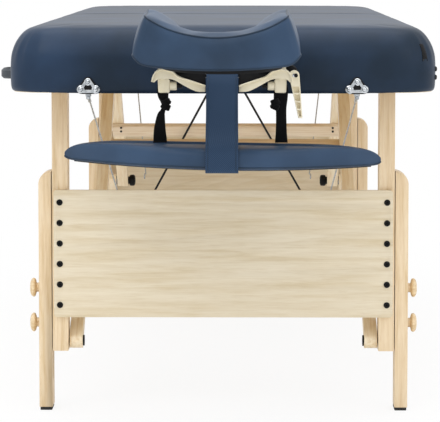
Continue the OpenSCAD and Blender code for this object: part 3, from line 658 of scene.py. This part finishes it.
nearPad = makeTopPad()
farPad = mirroredFar(nearPad, "farPad")
finishPiece(nearPad, shadedTopVinyl, "near_frame", ("near_cushion",))
finishPiece(farPad, shadedTopVinyl, "far_frame", ("far_cushion",))
print("upholstered top made")


# face cradle: the plane of its plate, tilted about the shaft
baseOut = 993.0
shaftZ = 632.0
cradle = {"tilt": 4.0, "back": 25.2, "rise": 11.0 + 10.0 + 8.0 + 0.3}


def inCradle(x, v, w):
    a = math.radians(cradle["tilt"])
    v -= cradle["back"]
    w += cradle["rise"]
    return at(x, baseOut + v * math.cos(a) + w * math.sin(a), shaftZ - v * math.sin(a) + w * math.cos(a))


padPressure = 1.5
padSoftness = 3.0 * mm
facePillow = {
    "width": 285.0,
    "ring": 90.0,
    "arms": 90.0,
    "thick": 58.0,
    "bow": 9.0,
    "swell": 26.0,
    "beside": -8.0,          # pressed on its pad a little to the left
    "cornerRadius": 13.0,
    "cornerLift": 14.0,      # the low edge rises round the corners and along the sides
    "frontBow": 7.0,
    "taper": 0.14,           # how much the sides lean in towards the top
    "section": [(40, 0.4), (44, 3), (45, 12), (44.6, 30), (43.6, 46), (42, 56), (39, 59), (31, 60), (18, 61),
        (2, 60), (-13, 57), (-26, 51), (-36, 42), (-42, 30), (-44, 18), (-42, 8), (-37, 2.5), (-29, 0), (-12, 0),
        (6, 0), (25, 0)],
    "outerTop": (41.2, 58.5),
    "outerLow": (44.0, 2.0),
}


# a place in the pillow: share across it from its inner to its outer edge, and height
def pillowPoint(station, u, w):
    p = facePillow
    inner, outer, size = station
    share = 0.5 + (u * size) / p["ring"]
    px = inner[0] + (outer[0] - inner[0]) * share
    v = inner[1] + (outer[1] - inner[1]) * share
    side = min(1.15, abs(2 * px / p["width"])) ** 2
    middle = p["thick"] / 2
    swell = p["swell"] * (1 - 0.32 * max(0.0, 1 - v / p["arms"]))
    height = (middle + (w - middle) * size) * (1 + side * swell / p["thick"])
    turning = min(1.0, max(0.0, (abs(2 * outer[0] / p["width"]) - 0.84) / 0.16))
    height += p["cornerLift"] * turning ** 2 * max(0.0, 1 - w / p["thick"]) * max(0.0, min(1.0, u / 40))
    px *= 1 - p["taper"] * (w / p["thick"]) * min(1.0, abs(2 * px / p["width"]))
    return inCradle(px + p["beside"], v, side * p["bow"] + height)


# inner and outer edge at each station from the right arm round the front to the left arm
def pillowStations():
    p = facePillow
    half = p["width"] / 2
    hole = half - p["ring"]
    ends = [(-0.99, 0.3), (-0.97, 0.6), (-0.93, 0.82), (-0.86, 0.94), (-0.72, 1.0), (-0.5, 1.0), (-0.25, 1.0)]
    row = [((hole, p["arms"] * (1 + s)), (half, p["arms"] * (1 + s)), size) for s, size in ends]
    r = p["cornerRadius"]
    front = p["arms"] + half
    wall = [(half, p["arms"] + (half - r) * k / 12) for k in range(12)]
    wall += quarter(half - r, front - r, r, 0, 10)[:-1]
    wall += [((half - r) * (1 - k / 16), front) for k in range(17)]
    wall += [(-x, v) for x, v in reversed(wall[:-1])]
    for i, (x, v) in enumerate(wall):
        a = math.pi * i / (len(wall) - 1)
        v += p["frontBow"] * (1 - (x / half) ** 2) * min(1.0, max(0.0, (v - p["arms"]) / half))
        row.append(((hole * math.cos(a), p["arms"] + hole * math.sin(a)), (x, v - p["frontBow"]), 1.0))
    return row + [((-i[0], i[1]), (-o[0], o[1]), size) for i, o, size in reversed(row[:len(ends)])]


def makeFacePillow():
    p = facePillow
    stations = pillowStations()
    section = smoothRow(p["section"] + p["section"][:1], 2)[:-1]
    loops = [[pillowPoint(station, u, w) for u, w in section] for station in stations]
    obj = skinOver("facePillow", loops)
    inflate(obj, padPressure, padSoftness, inCradle(0, 110, 4).z)
    addModifier(obj, "SUBSURF", levels=1)
    bpy.ops.object.shade_smooth()
    finishPiece(obj, navyVinyl, "cradle_head", ("face_pillow",))
    for name, (u, w) in {"pillowTopPiping": p["outerTop"], "pillowLowPiping": p["outerLow"]}.items():
        onPad = []
        for station in stations[1:-1]:
            _, place, normal, _ = obj.closest_point_on_mesh(pillowPoint(station, u, w))
            onPad.append(place + normal * 0.2 * mm)
        piping = tubeAlong(name, smoothRow(onPad, 2), 1.7 * mm, 8)
        finishPiece(piping, pipingVinyl, "cradle_head")


makeFacePillow()
print("face pillow made")


# arm shelf: a padded board, straight towards the table and curved in front
armShelf = {
    "width": 562.0,
    "depth": 180.0,
    "back": 895.0,
    "tip": 28.0,
    "low": 471.9,
    "thick": 38.4,
    "endsFrom": 0.45,        # share of the half width from which the shelf gets thinner
    "endRise": 11.0,
    "endThick": 15.0,
    "profile": [(0.0, 8.0), (0.04, 3.8), (0.12, 1.4), (0.26, 0.3), (0.48, 0.0), (0.66, 0.6), (0.78, 2.4), (0.87, 5.6),
        (0.93, 10.5), (0.97, 17.5), (0.99, 27.0), (1.0, 42.0)],
}


def shelfLoop(inset, z, steps=40, corner=6):
    p = armShelf
    half = p["width"] / 2 - inset
    r = p["tip"] / 2
    back = p["back"] + inset
    rise = p["depth"] - 2 * inset - r
    row = []
    for i in range(steps + 1):
        t = math.cos(math.pi * i / steps)
        row.append((half * t, back + r + rise * (1 - t * t)))
    for cx, a0 in ((-half + r, 180), (half - r, 270)):
        row += quarter(cx, back + r, r, a0, corner)
        if a0 == 180:
            row += [(-half + r + (2 * half - 2 * r) * k / steps, back) for k in range(1, steps)]
    placed = []
    for x, out in row:
        away = min(0.985, max(0.0, (abs(x) / (p["width"] / 2) - p["endsFrom"]) / (1 - p["endsFrom"])))
        share = (z - p["low"]) / p["thick"]
        rise = p["endRise"] * (1 - math.sqrt(1 - away ** 26))
        top = p["endThick"] + (p["thick"] - p["endThick"]) * math.sqrt(1 - away ** 3.0)
        placed.append(at(x, out, p["low"] + rise + (top - rise) * share - x * shelfLean))
    return placed


def makeArmShelf():
    p = armShelf
    loops = [shelfLoop(inset, p["low"] + share * p["thick"]) for share, inset in smoothRow(p["profile"], 2)]
    obj = skinOver("shelfPad", loops, 20)
    inflate(obj, padPressure, padSoftness, (p["low"] + 4) * mm)
    addModifier(obj, "SUBSURF", levels=1)
    bpy.ops.object.shade_smooth()
    finishPiece(obj, navyVinyl, "face_cradle", ("shelf_cushion",))
    row = shelfLoop(-0.2, p["low"] + 0.1 * p["thick"])
    onPad = [obj.closest_point_on_mesh(q)[1] for q in row + row[:1]]
    piping = tubeAlong("shelfPiping", onPad, 1.8 * mm, 8)
    finishPiece(piping, pipingVinyl, "face_cradle")


makeArmShelf()
print("arm shelf made")


# cradle fittings in cream plastic: arched arms with a rim, and the clamps of the rods behind them
cradleFittings = {
    "rim": [(121.5, 620.7), (118.2, 631.6), (112.7, 639.4), (104, 642.3), (95.4, 641.6), (86.2, 638.3), (78.5, 631.6),
        (71.2, 627.6), (50, 620.4), (29, 613.2)],
    "lower": [(117.5, 619.5), (113.5, 623.6), (109, 625.6), (101.6, 626.4), (93, 626.0), (85, 624.4), (77.5, 620.9),
        (66, 614.2), (46, 604.4), (29, 603.2)],
    "armOut": (1003.6, 1011.5),
    "clamp": (90.0, 112.0, 601.0, 627.0),
    "bearing": (97.0, 110.5, 622.0, 647.0),
    "clampOut": (979.5, 1000.5),
    "pegs": [
        ("ClampStub", [(8.2, 0), (8.2, 10.5), (7.4, 11.5), (5.0, 11.5), (5.0, 6.0), (1.0, 6.0)], 90.5, 28,
            creamPlastic),
        ("ClampPin", [(4.2, 0), (4.2, 14.0), (3.2, 15.0), (1.0, 15.0)], 84.0, 20, blackPlastic),
    ],
    "pegOut": 991.0,
    "pegZ": 613.5,
    # a black sheet behind each arm: partly the plate's edge, partly painted shade beneath the pillow
    "skirtAndShade": [(29, 612.5), (29, 637), (82, 637), (82, 629), (60, 622)],
}

blockEase = 3.0


# a block with eased edges, its lower end narrower by the taper
def boxPiece(name, x0, x1, out0, out1, z0, z1, taper=1.0):
    deselectAll()
    bpy.ops.mesh.primitive_cube_add(size=1, location=(0, 0, 0))
    obj = bpy.context.object
    obj.name = name
    obj.scale = (abs(x1 - x0) * mm, (out1 - out0) * mm, (z1 - z0) * mm)
    applyTransform()
    bpy.ops.object.mode_set(mode="EDIT")
    bpy.ops.mesh.select_all(action="DESELECT")
    mesh = bmesh.from_edit_mesh(obj.data)
    for v in mesh.verts:
        v.select = v.co.z < 0
    mesh.select_flush(True)
    bmesh.update_edit_mesh(obj.data)
    bpy.ops.transform.resize(value=(taper, taper, 1), center_override=(0, 0, 0))
    bpy.ops.object.mode_set(mode="OBJECT")
    bevelEdges(obj, blockEase * mm, 3, 40)
    smoothBy(40)
    obj.location = at((x0 + x1) / 2, (out0 + out1) / 2, (z0 + z1) / 2)
    return obj


# a flat upright plate from points across the table and up
def platePiece(name, points, out0, out1, ease):
    loops = [[at(x, out, z) for x, z in points] for out in (out0, out1)]
    obj = skinOver(name, loops)
    bevelEdges(obj, ease * mm, 3, 50)
    smoothBy(40)
    return obj


def makeCradleFittings():
    c = cradleFittings
    armBack, armFront = c["armOut"]
    rim = smoothRow(c["rim"], 3)
    lower = smoothRow(c["lower"], 3)
    for side, word in sides:
        web = platePiece(word + "ArmWeb", [(side * x, z) for x, z in rim + lower[::-1]], armBack, armFront - 3.5, 0.8)
        finishPiece(web, creamPlastic, "cradle_head", ("cradle_arms",))
        stations = [(at(side * x, (armBack + armFront) / 2, z), Vector((0, 1, 0)), (armFront - armBack) * mm, 3.2 * mm)
            for x, z in rim]
        finishPiece(bandAlong(word + "ArmRim", stations, 0.4), creamPlastic, "cradle_head")
        x0, x1, z0, z1 = c["clamp"]
        clamp = boxPiece(word + "Clamp", side * x0, side * x1, *c["clampOut"], z0, z1, 0.9)
        finishPiece(clamp, creamPlastic, "face_cradle", ("cradle_base",))
        x0, x1, z0, z1 = c["bearing"]
        bearing = boxPiece(word + "Bearing", side * x0, side * x1, *c["clampOut"], z0, z1)
        finishPiece(bearing, creamPlastic, "face_cradle")
        for title, profile, x, count, material in c["pegs"]:
            peg = turned(word + title, profile, at(side * x, c["pegOut"], c["pegZ"]), (-side, 0, 0), count)
            finishPiece(peg, material, "face_cradle")
        # a black sheet behind the arm, partly the plate's edge and partly painted shade beneath the pillow
        points = [(side * x, z) for x, z in c["skirtAndShade"]]
        skirtAndShade = platePiece(word + "PlateSkirtAndShade", points, armBack - 2.6, armBack - 0.4, 0.5)
        finishPiece(skirtAndShade, blackPlastic, "cradle_head")
    cap = turned("leverCap", [(11.5, 0), (11.5, 4.0), (10.2, 6.2), (6.4, 7.4), (1.0, 7.8)], at(119, 990.0, 638),
        (0, -1, 0), 36)
    finishPiece(cap, blackPlastic, "cradle_lever")
    pin = turned("leverPin", [(3.4, 0), (3.4, 1.4), (2.2, 2.4), (1.0, 2.6)], at(127.5, 1008.6, 632), (0, -1, 0), 20)
    finishPiece(pin, blackPlastic, "cradle_lever")


makeCradleFittings()
print("cradle fittings made")


# straps of the shelf: black ones knotted round the rods, a broad navy one in front
strapLook = {
    "rodX": 101.0, "rodZ": 624.0, "loopRadius": 6.3 + 2.2, "strapOut": 947.0,
    "left": [(-104, 612, 18), (-104.7, 603, 20), (-104.2, 594, 19), (-102.5, 586, 15), (-102, 579, 11), (-103, 572, 8),
        (-105, 566, 9), (-108, 558, 14), (-110, 537, 20), (-109.8, 522, 23), (-109.5, 511, 24.5)],
    "right": [(102, 612, 24), (102.6, 603, 25), (102.4, 594, 25), (102, 584, 24), (102.4, 575, 21), (103, 567, 18.5),
        (103.2, 550, 18.5), (103.3, 530, 19.5), (103.4, 511, 22.5)],
    "knots": {"left": (-99.5, 578, 6.5), "right": (92.5, 578, 6.0)},
    "wraps": [(0.35, 4.0, 1.0), (-0.45, -4.0, 0.94), (1.3, 0.5, 0.8)],  # lean, lift and size of each turn
    "thick": 2.6,
}


def makeBlackStraps():
    p = strapLook
    across = Vector((1, 0, 0))
    for side, word in sides:
        stations = [(at(x, p["strapOut"] + 2.5 * math.sin((z - 511) / 16), z), across, width * mm, p["thick"] * mm)
            for x, z, width in smoothRow(p[word], 4)]
        tail = bandAlong(word + "StrapTail", stations)
        finishPiece(tail, blackWebbing, "face_cradle", ("black_straps",))
        r = p["loopRadius"]
        ring = [(at(side * p["rodX"] + r * math.sin(a), p["strapOut"], p["rodZ"] + r * math.cos(a)),
            Vector((0, 1, 0)), 20 * mm, p["thick"] * mm) for a in turnsOf(32)]
        finishPiece(bandAlong(word + "StrapLoop", ring), blackWebbing, "face_cradle")
        # the knot: two turns of the band drawn tight round the tail, and one across them
        knotX, knotZ, knotR = p["knots"][word]
        for n, (lean, lift, size) in enumerate(p["wraps"]):
            turn = [(at(knotX + size * knotR * math.cos(a), p["strapOut"] + size * 5.5 * math.sin(a),
                knotZ + lift + lean * size * knotR * math.cos(a)), Vector((-lean, 0, 1)), 11.0 * mm, 3.0 * mm)
                for a in turnsOf(28)]
            finishPiece(bandAlong(f"{word}StrapKnot{n + 1}", turn, 0.45), blackWebbing, "face_cradle")


# the navy strap's course: outwards from the cradle's base or back from its own front, height and share of its width
middleCourse = {
    "overShaft": [(-8.5, 626.5, 0.97), (-8.8, 633, 0.97), (-5.5, 640.2, 0.97), (2, 641.5, 0.97), (8, 637, 0.97),
        (14, 630, 0.975), (21, 621, 0.98), (25.5, 612, 0.98), (34, 590, 0.985), (48, 560, 0.99)],
    "roundShelf": [(22, 535, 1.0), (8, 518, 1.0), (1.6, 506, 1.005), (1.3, 490, 1.01), (1.5, 476, 1.01),
        (5, 469.5, 1.01), (14, 468.6, 1.0), (44, 468.8, 1.0)],
}


def makeMiddleStrap():
    low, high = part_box("middle_strap")
    front = (foldY - low.y) / mm
    width = (high.x - low.x) / mm
    rows = [(baseOut + v, z, share) for v, z, share in middleCourse["overShaft"]]
    rows += [(front - v, z, share) for v, z, share in middleCourse["roundShelf"]]
    stations = [(at(0, out + 0.5 * math.sin(z / 9.0), z), Vector((1, 0, 0)), width * share * mm, 2.5 * mm)
        for out, z, share in smoothRow(rows, 4)]
    band = bandAlong("middleStrapBand", stations)
    finishPiece(band, navyWebbing, "face_cradle", ("middle_strap",))
    for n, x in enumerate((-width / 2 + 4, width / 2 - 4)):
        row = [place + Vector((x * mm, -1.1 * mm, 0.4 * mm)) for place, _, _, _ in stations[20:60]]
        stitch = tubeAlong(f"middleStrapStitch{n + 1}", row, 0.6 * mm, 6)
        finishPiece(stitch, pipingVinyl, "face_cradle")


makeBlackStraps()
makeMiddleStrap()
print("straps made")


# chrome brackets for the cables: a three-lobed loop on a black plate, riveted, with a lug for the cable; the plate's
# black rim round the loop is partly the plate and partly painted shade
bracket = {
    "x": 237.0, "out": 927.0, "low": 597.0, "middle": 10.5, "size": 19.5,
    "lobes": [(-13.5, 6.0, 7.5), (13.0, 6.5, 7.0), (0.5, 19.5, 6.5)],
}
rivetProfile = [(1, 0), (1, 1.6), (0.86, 2.5), (0.62, 2.9), (0.56, 4.6), (0.42, 5.6), (0.16, 6.0)]


def threeLobes(name, grow, thick, out, x, far, hole):
    deselectAll()
    bpy.ops.mesh.primitive_circle_add(vertices=3, radius=(bracket["size"] + grow) * mm, fill_type="NGON",
        location=(0, 0, 0))
    obj = bpy.context.object
    obj.name = name
    editAll()
    bpy.ops.transform.resize(value=(1.16, 1.0, 1.0), center_override=(0, 0, 0))
    bpy.ops.mesh.bevel(offset=(11.0 + grow * 0.6) * mm, segments=8, affect="VERTICES")
    bpy.ops.mesh.select_all(action="SELECT")
    if hole:
        bpy.ops.mesh.inset(thickness=5.2 * mm, depth=0)
        bpy.ops.mesh.delete(type="FACE")
    bpy.ops.mesh.select_all(action="SELECT")
    bpy.ops.mesh.extrude_region_move(TRANSFORM_OT_translate={"value": (0, 0, thick * mm)})
    faceOutwards(obj)
    bevelEdges(obj, min(thick * 0.4, 1.2) * mm, 3, 50)
    smoothBy(40)
    turn = Matrix.Rotation(math.pi if far else 0, 4, "Z") @ Matrix.Rotation(math.pi / 2, 4, "X")
    obj.matrix_world = Matrix.Translation(at(x, out, bracket["low"] + bracket["middle"], far)) @ turn
    return obj


def makeBrackets():
    b = bracket
    for far, end, side, word in corners:
        body = end + "_frame"
        aim = (0, 1 if far else -1, 0)
        x = side * b["x"]
        # the black plate reaches 5.2 mm past the loop: its rim is partly the real plate and partly painted shade round
        # the chrome
        back = threeLobes(word + "BracketPlateAndShade", 5.2, 1.6, b["out"] - 0.2, x, far, False)
        finishPiece(back, blackPlastic, body)
        loop = threeLobes(word + "BracketLoop", 0.4, 4.0, b["out"] + 1.2, x, far, True)
        finishPiece(loop, chromeSteel, body, (end + "_cable_brackets",))
        for n, (dx, dz, r) in enumerate(b["lobes"]):
            rivet = turned(f"{word}Rivet{n + 1}", [(r * share, z) for share, z in rivetProfile],
                at(x + side * dx, b["out"] + 1.3, b["low"] + dz, far), aim)
            finishPiece(rivet, chromeSteel, body)
        lug = turned(word + "CableLug", [(5.2, 0), (5.2, 5.5), (4.0, 6.5), (3.8, 11.0), (2.4, 12.0)],
            at(x, 923.0, 597.0, far), (0, 0, -1), 20)
        finishPiece(lug, chromeSteel, body)


makeBrackets()
print("cable brackets made")


boltLow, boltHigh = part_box("near_knee_bolts")
kneeOut = (foldY - (boltLow.y + boltHigh.y) / 2) / mm
kneeZ = (boltLow.z + boltHigh.z) / 2 / mm
# the steel cables: their upper ends, their lower ends beside the knees, the eyes there and the wire's radius
cableLook = {
    "top": (237.0, 918.4, 589.4),
    "low": (192.0, 17.5, 328.0),
    "eye": (194.5, 10.5, 323.5, 5.5),
    "radius": 1.5,
}


# a straight cord from one point to another, in place of a CAD node, attached to no body
def tautCord(name, start, end, steps, radius, material, node):
    path = [start.lerp(end, k / steps) for k in range(steps + 1)]
    cord = tubeAlong(name, path, radius, 8)
    finishPiece(cord, material, None, (node,))
    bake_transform(cord)


# steel cables from the end brackets to the knees, taut when the table stands
def makeCables():
    c = cableLook
    radius = c["radius"] * mm
    for far, end, side, word in corners:
        x, out, z = c["top"]
        start = at(side * x, out, z, far)
        x, out, z = c["low"]
        knee = at(side * x, kneeOut + out, z, far)
        tautCord(word + "Cable", start, knee, 16, radius, cableSteel, end + "_cables")
        way = (knee - start).normalized()
        crimp = turned(word + "CableCrimp", [(2.2, 0), (2.9, 1.5), (2.9, 13), (2.2, 14.5), (1.7, 15)],
            start + way * 3 * mm, way, 16)
        finishPiece(crimp, chromeSteel, end + "_frame")
        x, out, z, r = c["eye"]
        eye = [at(side * x, kneeOut + out + r * math.cos(a), z + r * math.sin(a), far) for a in turnsOf(24)]
        hook = tubeAlong(word + "KneeEye", eye, radius, 8)
        finishPiece(hook, chromeSteel, end + "_upper_brace")


makeCables()


# black cords from the middle of the frame to the far legs
def makeLegCords():
    low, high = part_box("leg_cords")
    for side, word in sides:
        start = at(side * 18.0, 6.0, 585.0, True)
        end = Vector((low.x + 2.5 * mm if side < 0 else high.x - 2.5 * mm, high.y - 1.2 * mm, low.z + 2.3 * mm))
        tautCord(word + "LegCord", start, end, 20, 2.5 * mm, blackWebbing, "leg_cords")


makeLegCords()
print("cables and cords made")


# turned knobs of the legs: mushroom heads on a short neck
legKnobProfile = [(8.4, 0.3), (9.0, 0.9), (8.6, 3.0), (8.4, 5.2), (9.6, 6.4), (13.4, 7.2), (15.6, 8.0), (16.9, 9.2),
    (17.5, 10.8), (17.4, 12.4), (16.5, 14.0), (14.8, 15.6), (12.0, 16.9), (8.4, 17.7), (4.4, 18.1), (1.0, 18.2)]


def makeLegKnobs():
    for name in sorted(nodes):
        if not name.endswith("_knob"):
            continue
        low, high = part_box(name)
        right = "_right_" in name
        place = Vector((low.x if right else high.x, (low.y + high.y) / 2, (low.z + high.z) / 2))
        knob = turned(name + "Turned", legKnobProfile, place, (1 if right else -1, 0, 0), 40)
        knob.location.x += -0.3 * mm if right else 0.3 * mm
        finishPiece(knob, beechKnob, bodyOf(name), (name,))


makeLegKnobs()


# black knobs at the knees, with a chrome pin through each
kneeKnobProfile = [(8.6, 0), (8.6, 2.6), (10.5, 3.4), (12.6, 4.8), (13.0, 7.0), (13.0, 12.0), (12.4, 14.2),
    (10.6, 15.8), (7.0, 16.8), (6.6, 16.2), (1.0, 16.0)]
kneeKnobLength = 24.0


def makeKneeKnobs():
    for far, end, side, word in corners:
        inner = (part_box(end + "_knee_knobs")[1].x - midX) / mm
        place = at(side * (inner - kneeKnobLength), kneeOut, kneeZ, far)
        knob = turned(word + "KneeKnob", kneeKnobProfile, place, (-side, 0, 0), 36)
        finishPiece(knob, blackPlastic, end + "_upper_brace", (end + "_knee_knobs",))
        pin = turned(word + "KneePin", [(4.95, 0), (4.95, 24.5), (4.2, 25.6), (1.0, 26.0)], place, (side, 0, 0), 24)
        finishPiece(pin, chromeSteel, end + "_upper_brace")


makeKneeKnobs()


# carry handle, blank side tag, two rubber studs and the crossbar's screws
smallThings = {
    "handle": [(379.5, 408, 0.8), (388, 408.5, 0.85), (406, 412, 0.95), (420, 421, 1.0), (428, 436, 1.0),
        (430.5, 463, 1.0), (428, 490, 1.0), (420, 505, 1.0), (406, 514, 0.95), (388, 517.5, 0.85), (379.5, 518, 0.8)],
    "handleZ": 611.0,
    "tag": (358.0, 652.0, 686.0, 12.0),
    "studs": [(868.0, 637.0), (868.0, 622.0)],
    "screws": [(237.0, 454.5), (237.0, 446.5)],
}


def makeSmallThings():
    t = smallThings
    stations = [(at(-x, out, t["handleZ"]), Vector((0, 0, 1)), 19.0 * share * mm, 9.0 * share * mm)
        for x, out, share in smoothRow(t["handle"], 4)]
    handle = bandAlong("carryHandleGrip", stations, 0.42)
    finishPiece(handle, handlePlastic, "near_frame", ("carry_handle",))
    x, z0, z1, wide = t["tag"]
    middle = at(x, 905, (z0 + z1) / 2)
    _, place, normal, _ = nearPad.closest_point_on_mesh(middle)
    across = Vector((0, 0, 1)).cross(normal).normalized()
    points, faces = [], []
    for i in range(9):
        for k in range(5):
            spot = place + across * (k / 4 - 0.5) * wide * mm + Vector((0, 0, (z0 + (z1 - z0) * i / 8) * mm - place.z))
            _, q, n, _ = nearPad.closest_point_on_mesh(spot)
            points.append(q + n * (0.5 * mm if i < 8 else 0.2 * mm))
            if i and k:
                faces.append(((i - 1) * 5 + k - 1, (i - 1) * 5 + k, i * 5 + k, i * 5 + k - 1))
    tag = meshPiece("blankSideTag", points, faces)
    addModifier(tag, "SOLIDIFY", thickness=0.9 * mm, offset=0.0)
    faceOutwards(tag)
    smoothBy(40)
    finishPiece(tag, blackWebbing, "near_frame")
    for n, (out, z) in enumerate(t["studs"]):
        _, place, normal, _ = nearPad.closest_point_on_mesh(at(385, out, z))
        stud = turned(f"sideStud{n + 1}", [(4.6, 0), (4.6, 1.6), (4.0, 2.8), (2.4, 3.6), (1.0, 3.8)],
            place - normal * 0.5 * mm, normal, 20)
        finishPiece(stud, footRubber, "near_frame")
    for far, end in ends:
        low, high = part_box(end + "_crossbar")
        face = abs(foldY - (low.y if far else high.y)) / mm
        for n, (x, z) in enumerate(t["screws"] * 2):
            place = at(x if n < 2 else -x, face + 0.1, z, far)
            screw = turned(f"{end}CrossbarScrew{n + 1}", [(2.5, 0), (2.5, 0.5), (1.8, 1.1), (0.8, 1.3)],
                place, (0, -1 if far else 1, 0), 16)
            finishPiece(screw, blackPlastic, bodyOf(end + "_crossbar"))


makeSmallThings()
print("knobs and small things made")


# floor, backdrop, light
def makeStage():
    deselectAll()
    bpy.ops.mesh.primitive_plane_add(size=40, location=(0, 0, 0))
    floor = bpy.context.object
    floor.name = "floor"
    m, shader = newMaterial("paleFloor")
    shader.inputs["Base Color"].default_value = colour("#f7f7f7")
    shader.inputs["Roughness"].default_value = 0.7
    plain = addNode(m, "ShaderNodeEmission", Color=(1, 1, 1, 1), Strength=1.0)
    seen = addNode(m, "ShaderNodeLightPath")
    spot = addNode(m, "ShaderNodeTexCoord")
    away = addNode(m, "ShaderNodeVectorMath", {"operation": "LENGTH"}, i0=(spot, "Object"))
    fade = addNode(m, "ShaderNodeMapRange", Value=(away, "Value"), i1=1.0, i2=2.2, i3=0.88, i4=1.0)
    share = addNode(m, "ShaderNodeMath", {"operation": "MULTIPLY"}, i0=(seen, "Is Camera Ray"), i1=(fade, 0))
    mix = addNode(m, "ShaderNodeMixShader", i0=(share, 0), i1=(shader, 0), i2=(plain, 0))
    out = next(n for n in m.node_tree.nodes if n.type == "OUTPUT_MATERIAL")
    m.node_tree.links.new(mix.outputs[0], out.inputs[0])
    floor.data.materials.append(m)
    world = bpy.data.worlds.new("studio")
    scene.world = world
    world.use_nodes = True
    world.node_tree.nodes.clear()
    soft = addNode(world, "ShaderNodeBackground", Color=colour("#f4f6fa"), Strength=0.88)
    white = addNode(world, "ShaderNodeBackground", Color=(1, 1, 1, 1), Strength=1.0)
    path = addNode(world, "ShaderNodeLightPath")
    glossy = addNode(world, "ShaderNodeMath", {"operation": "MAXIMUM"}, i0=(path, "Is Camera Ray"),
        i1=(path, "Is Glossy Ray"))
    through = addNode(world, "ShaderNodeMath", {"operation": "MAXIMUM"}, i0=(glossy, 0),
        i1=(path, "Is Transmission Ray"))
    pick = addNode(world, "ShaderNodeMixShader", i0=(through, 0), i1=(soft, 0), i2=(white, 0))
    addNode(world, "ShaderNodeOutputWorld", Surface=(pick, 0))


lamps = {
    "keyFromFrontLeft": ((-1.4, -3.0, 3.2), 34.0, 1.8),
    "fillFromFrontRight": ((2.2, -2.8, 2.0), 15.0, 2.2),
    "overhead": ((0.0, -0.6, 3.0), 46.0, 2.4),
}


def makeLamps():
    for name, (place, power, size) in lamps.items():
        lamp = bpy.data.lights.new(name, "AREA")
        lamp.energy = power
        lamp.size = size
        obj = bpy.data.objects.new(name, lamp)
        obj.location = place
        aim = Vector((midX, foldY - 0.4, 0.45)) - Vector(place)
        obj.rotation_euler = aim.to_track_quat("-Z", "Y").to_euler()
        scene.collection.objects.link(obj)


makeStage()
makeLamps()
print("stage and light made")
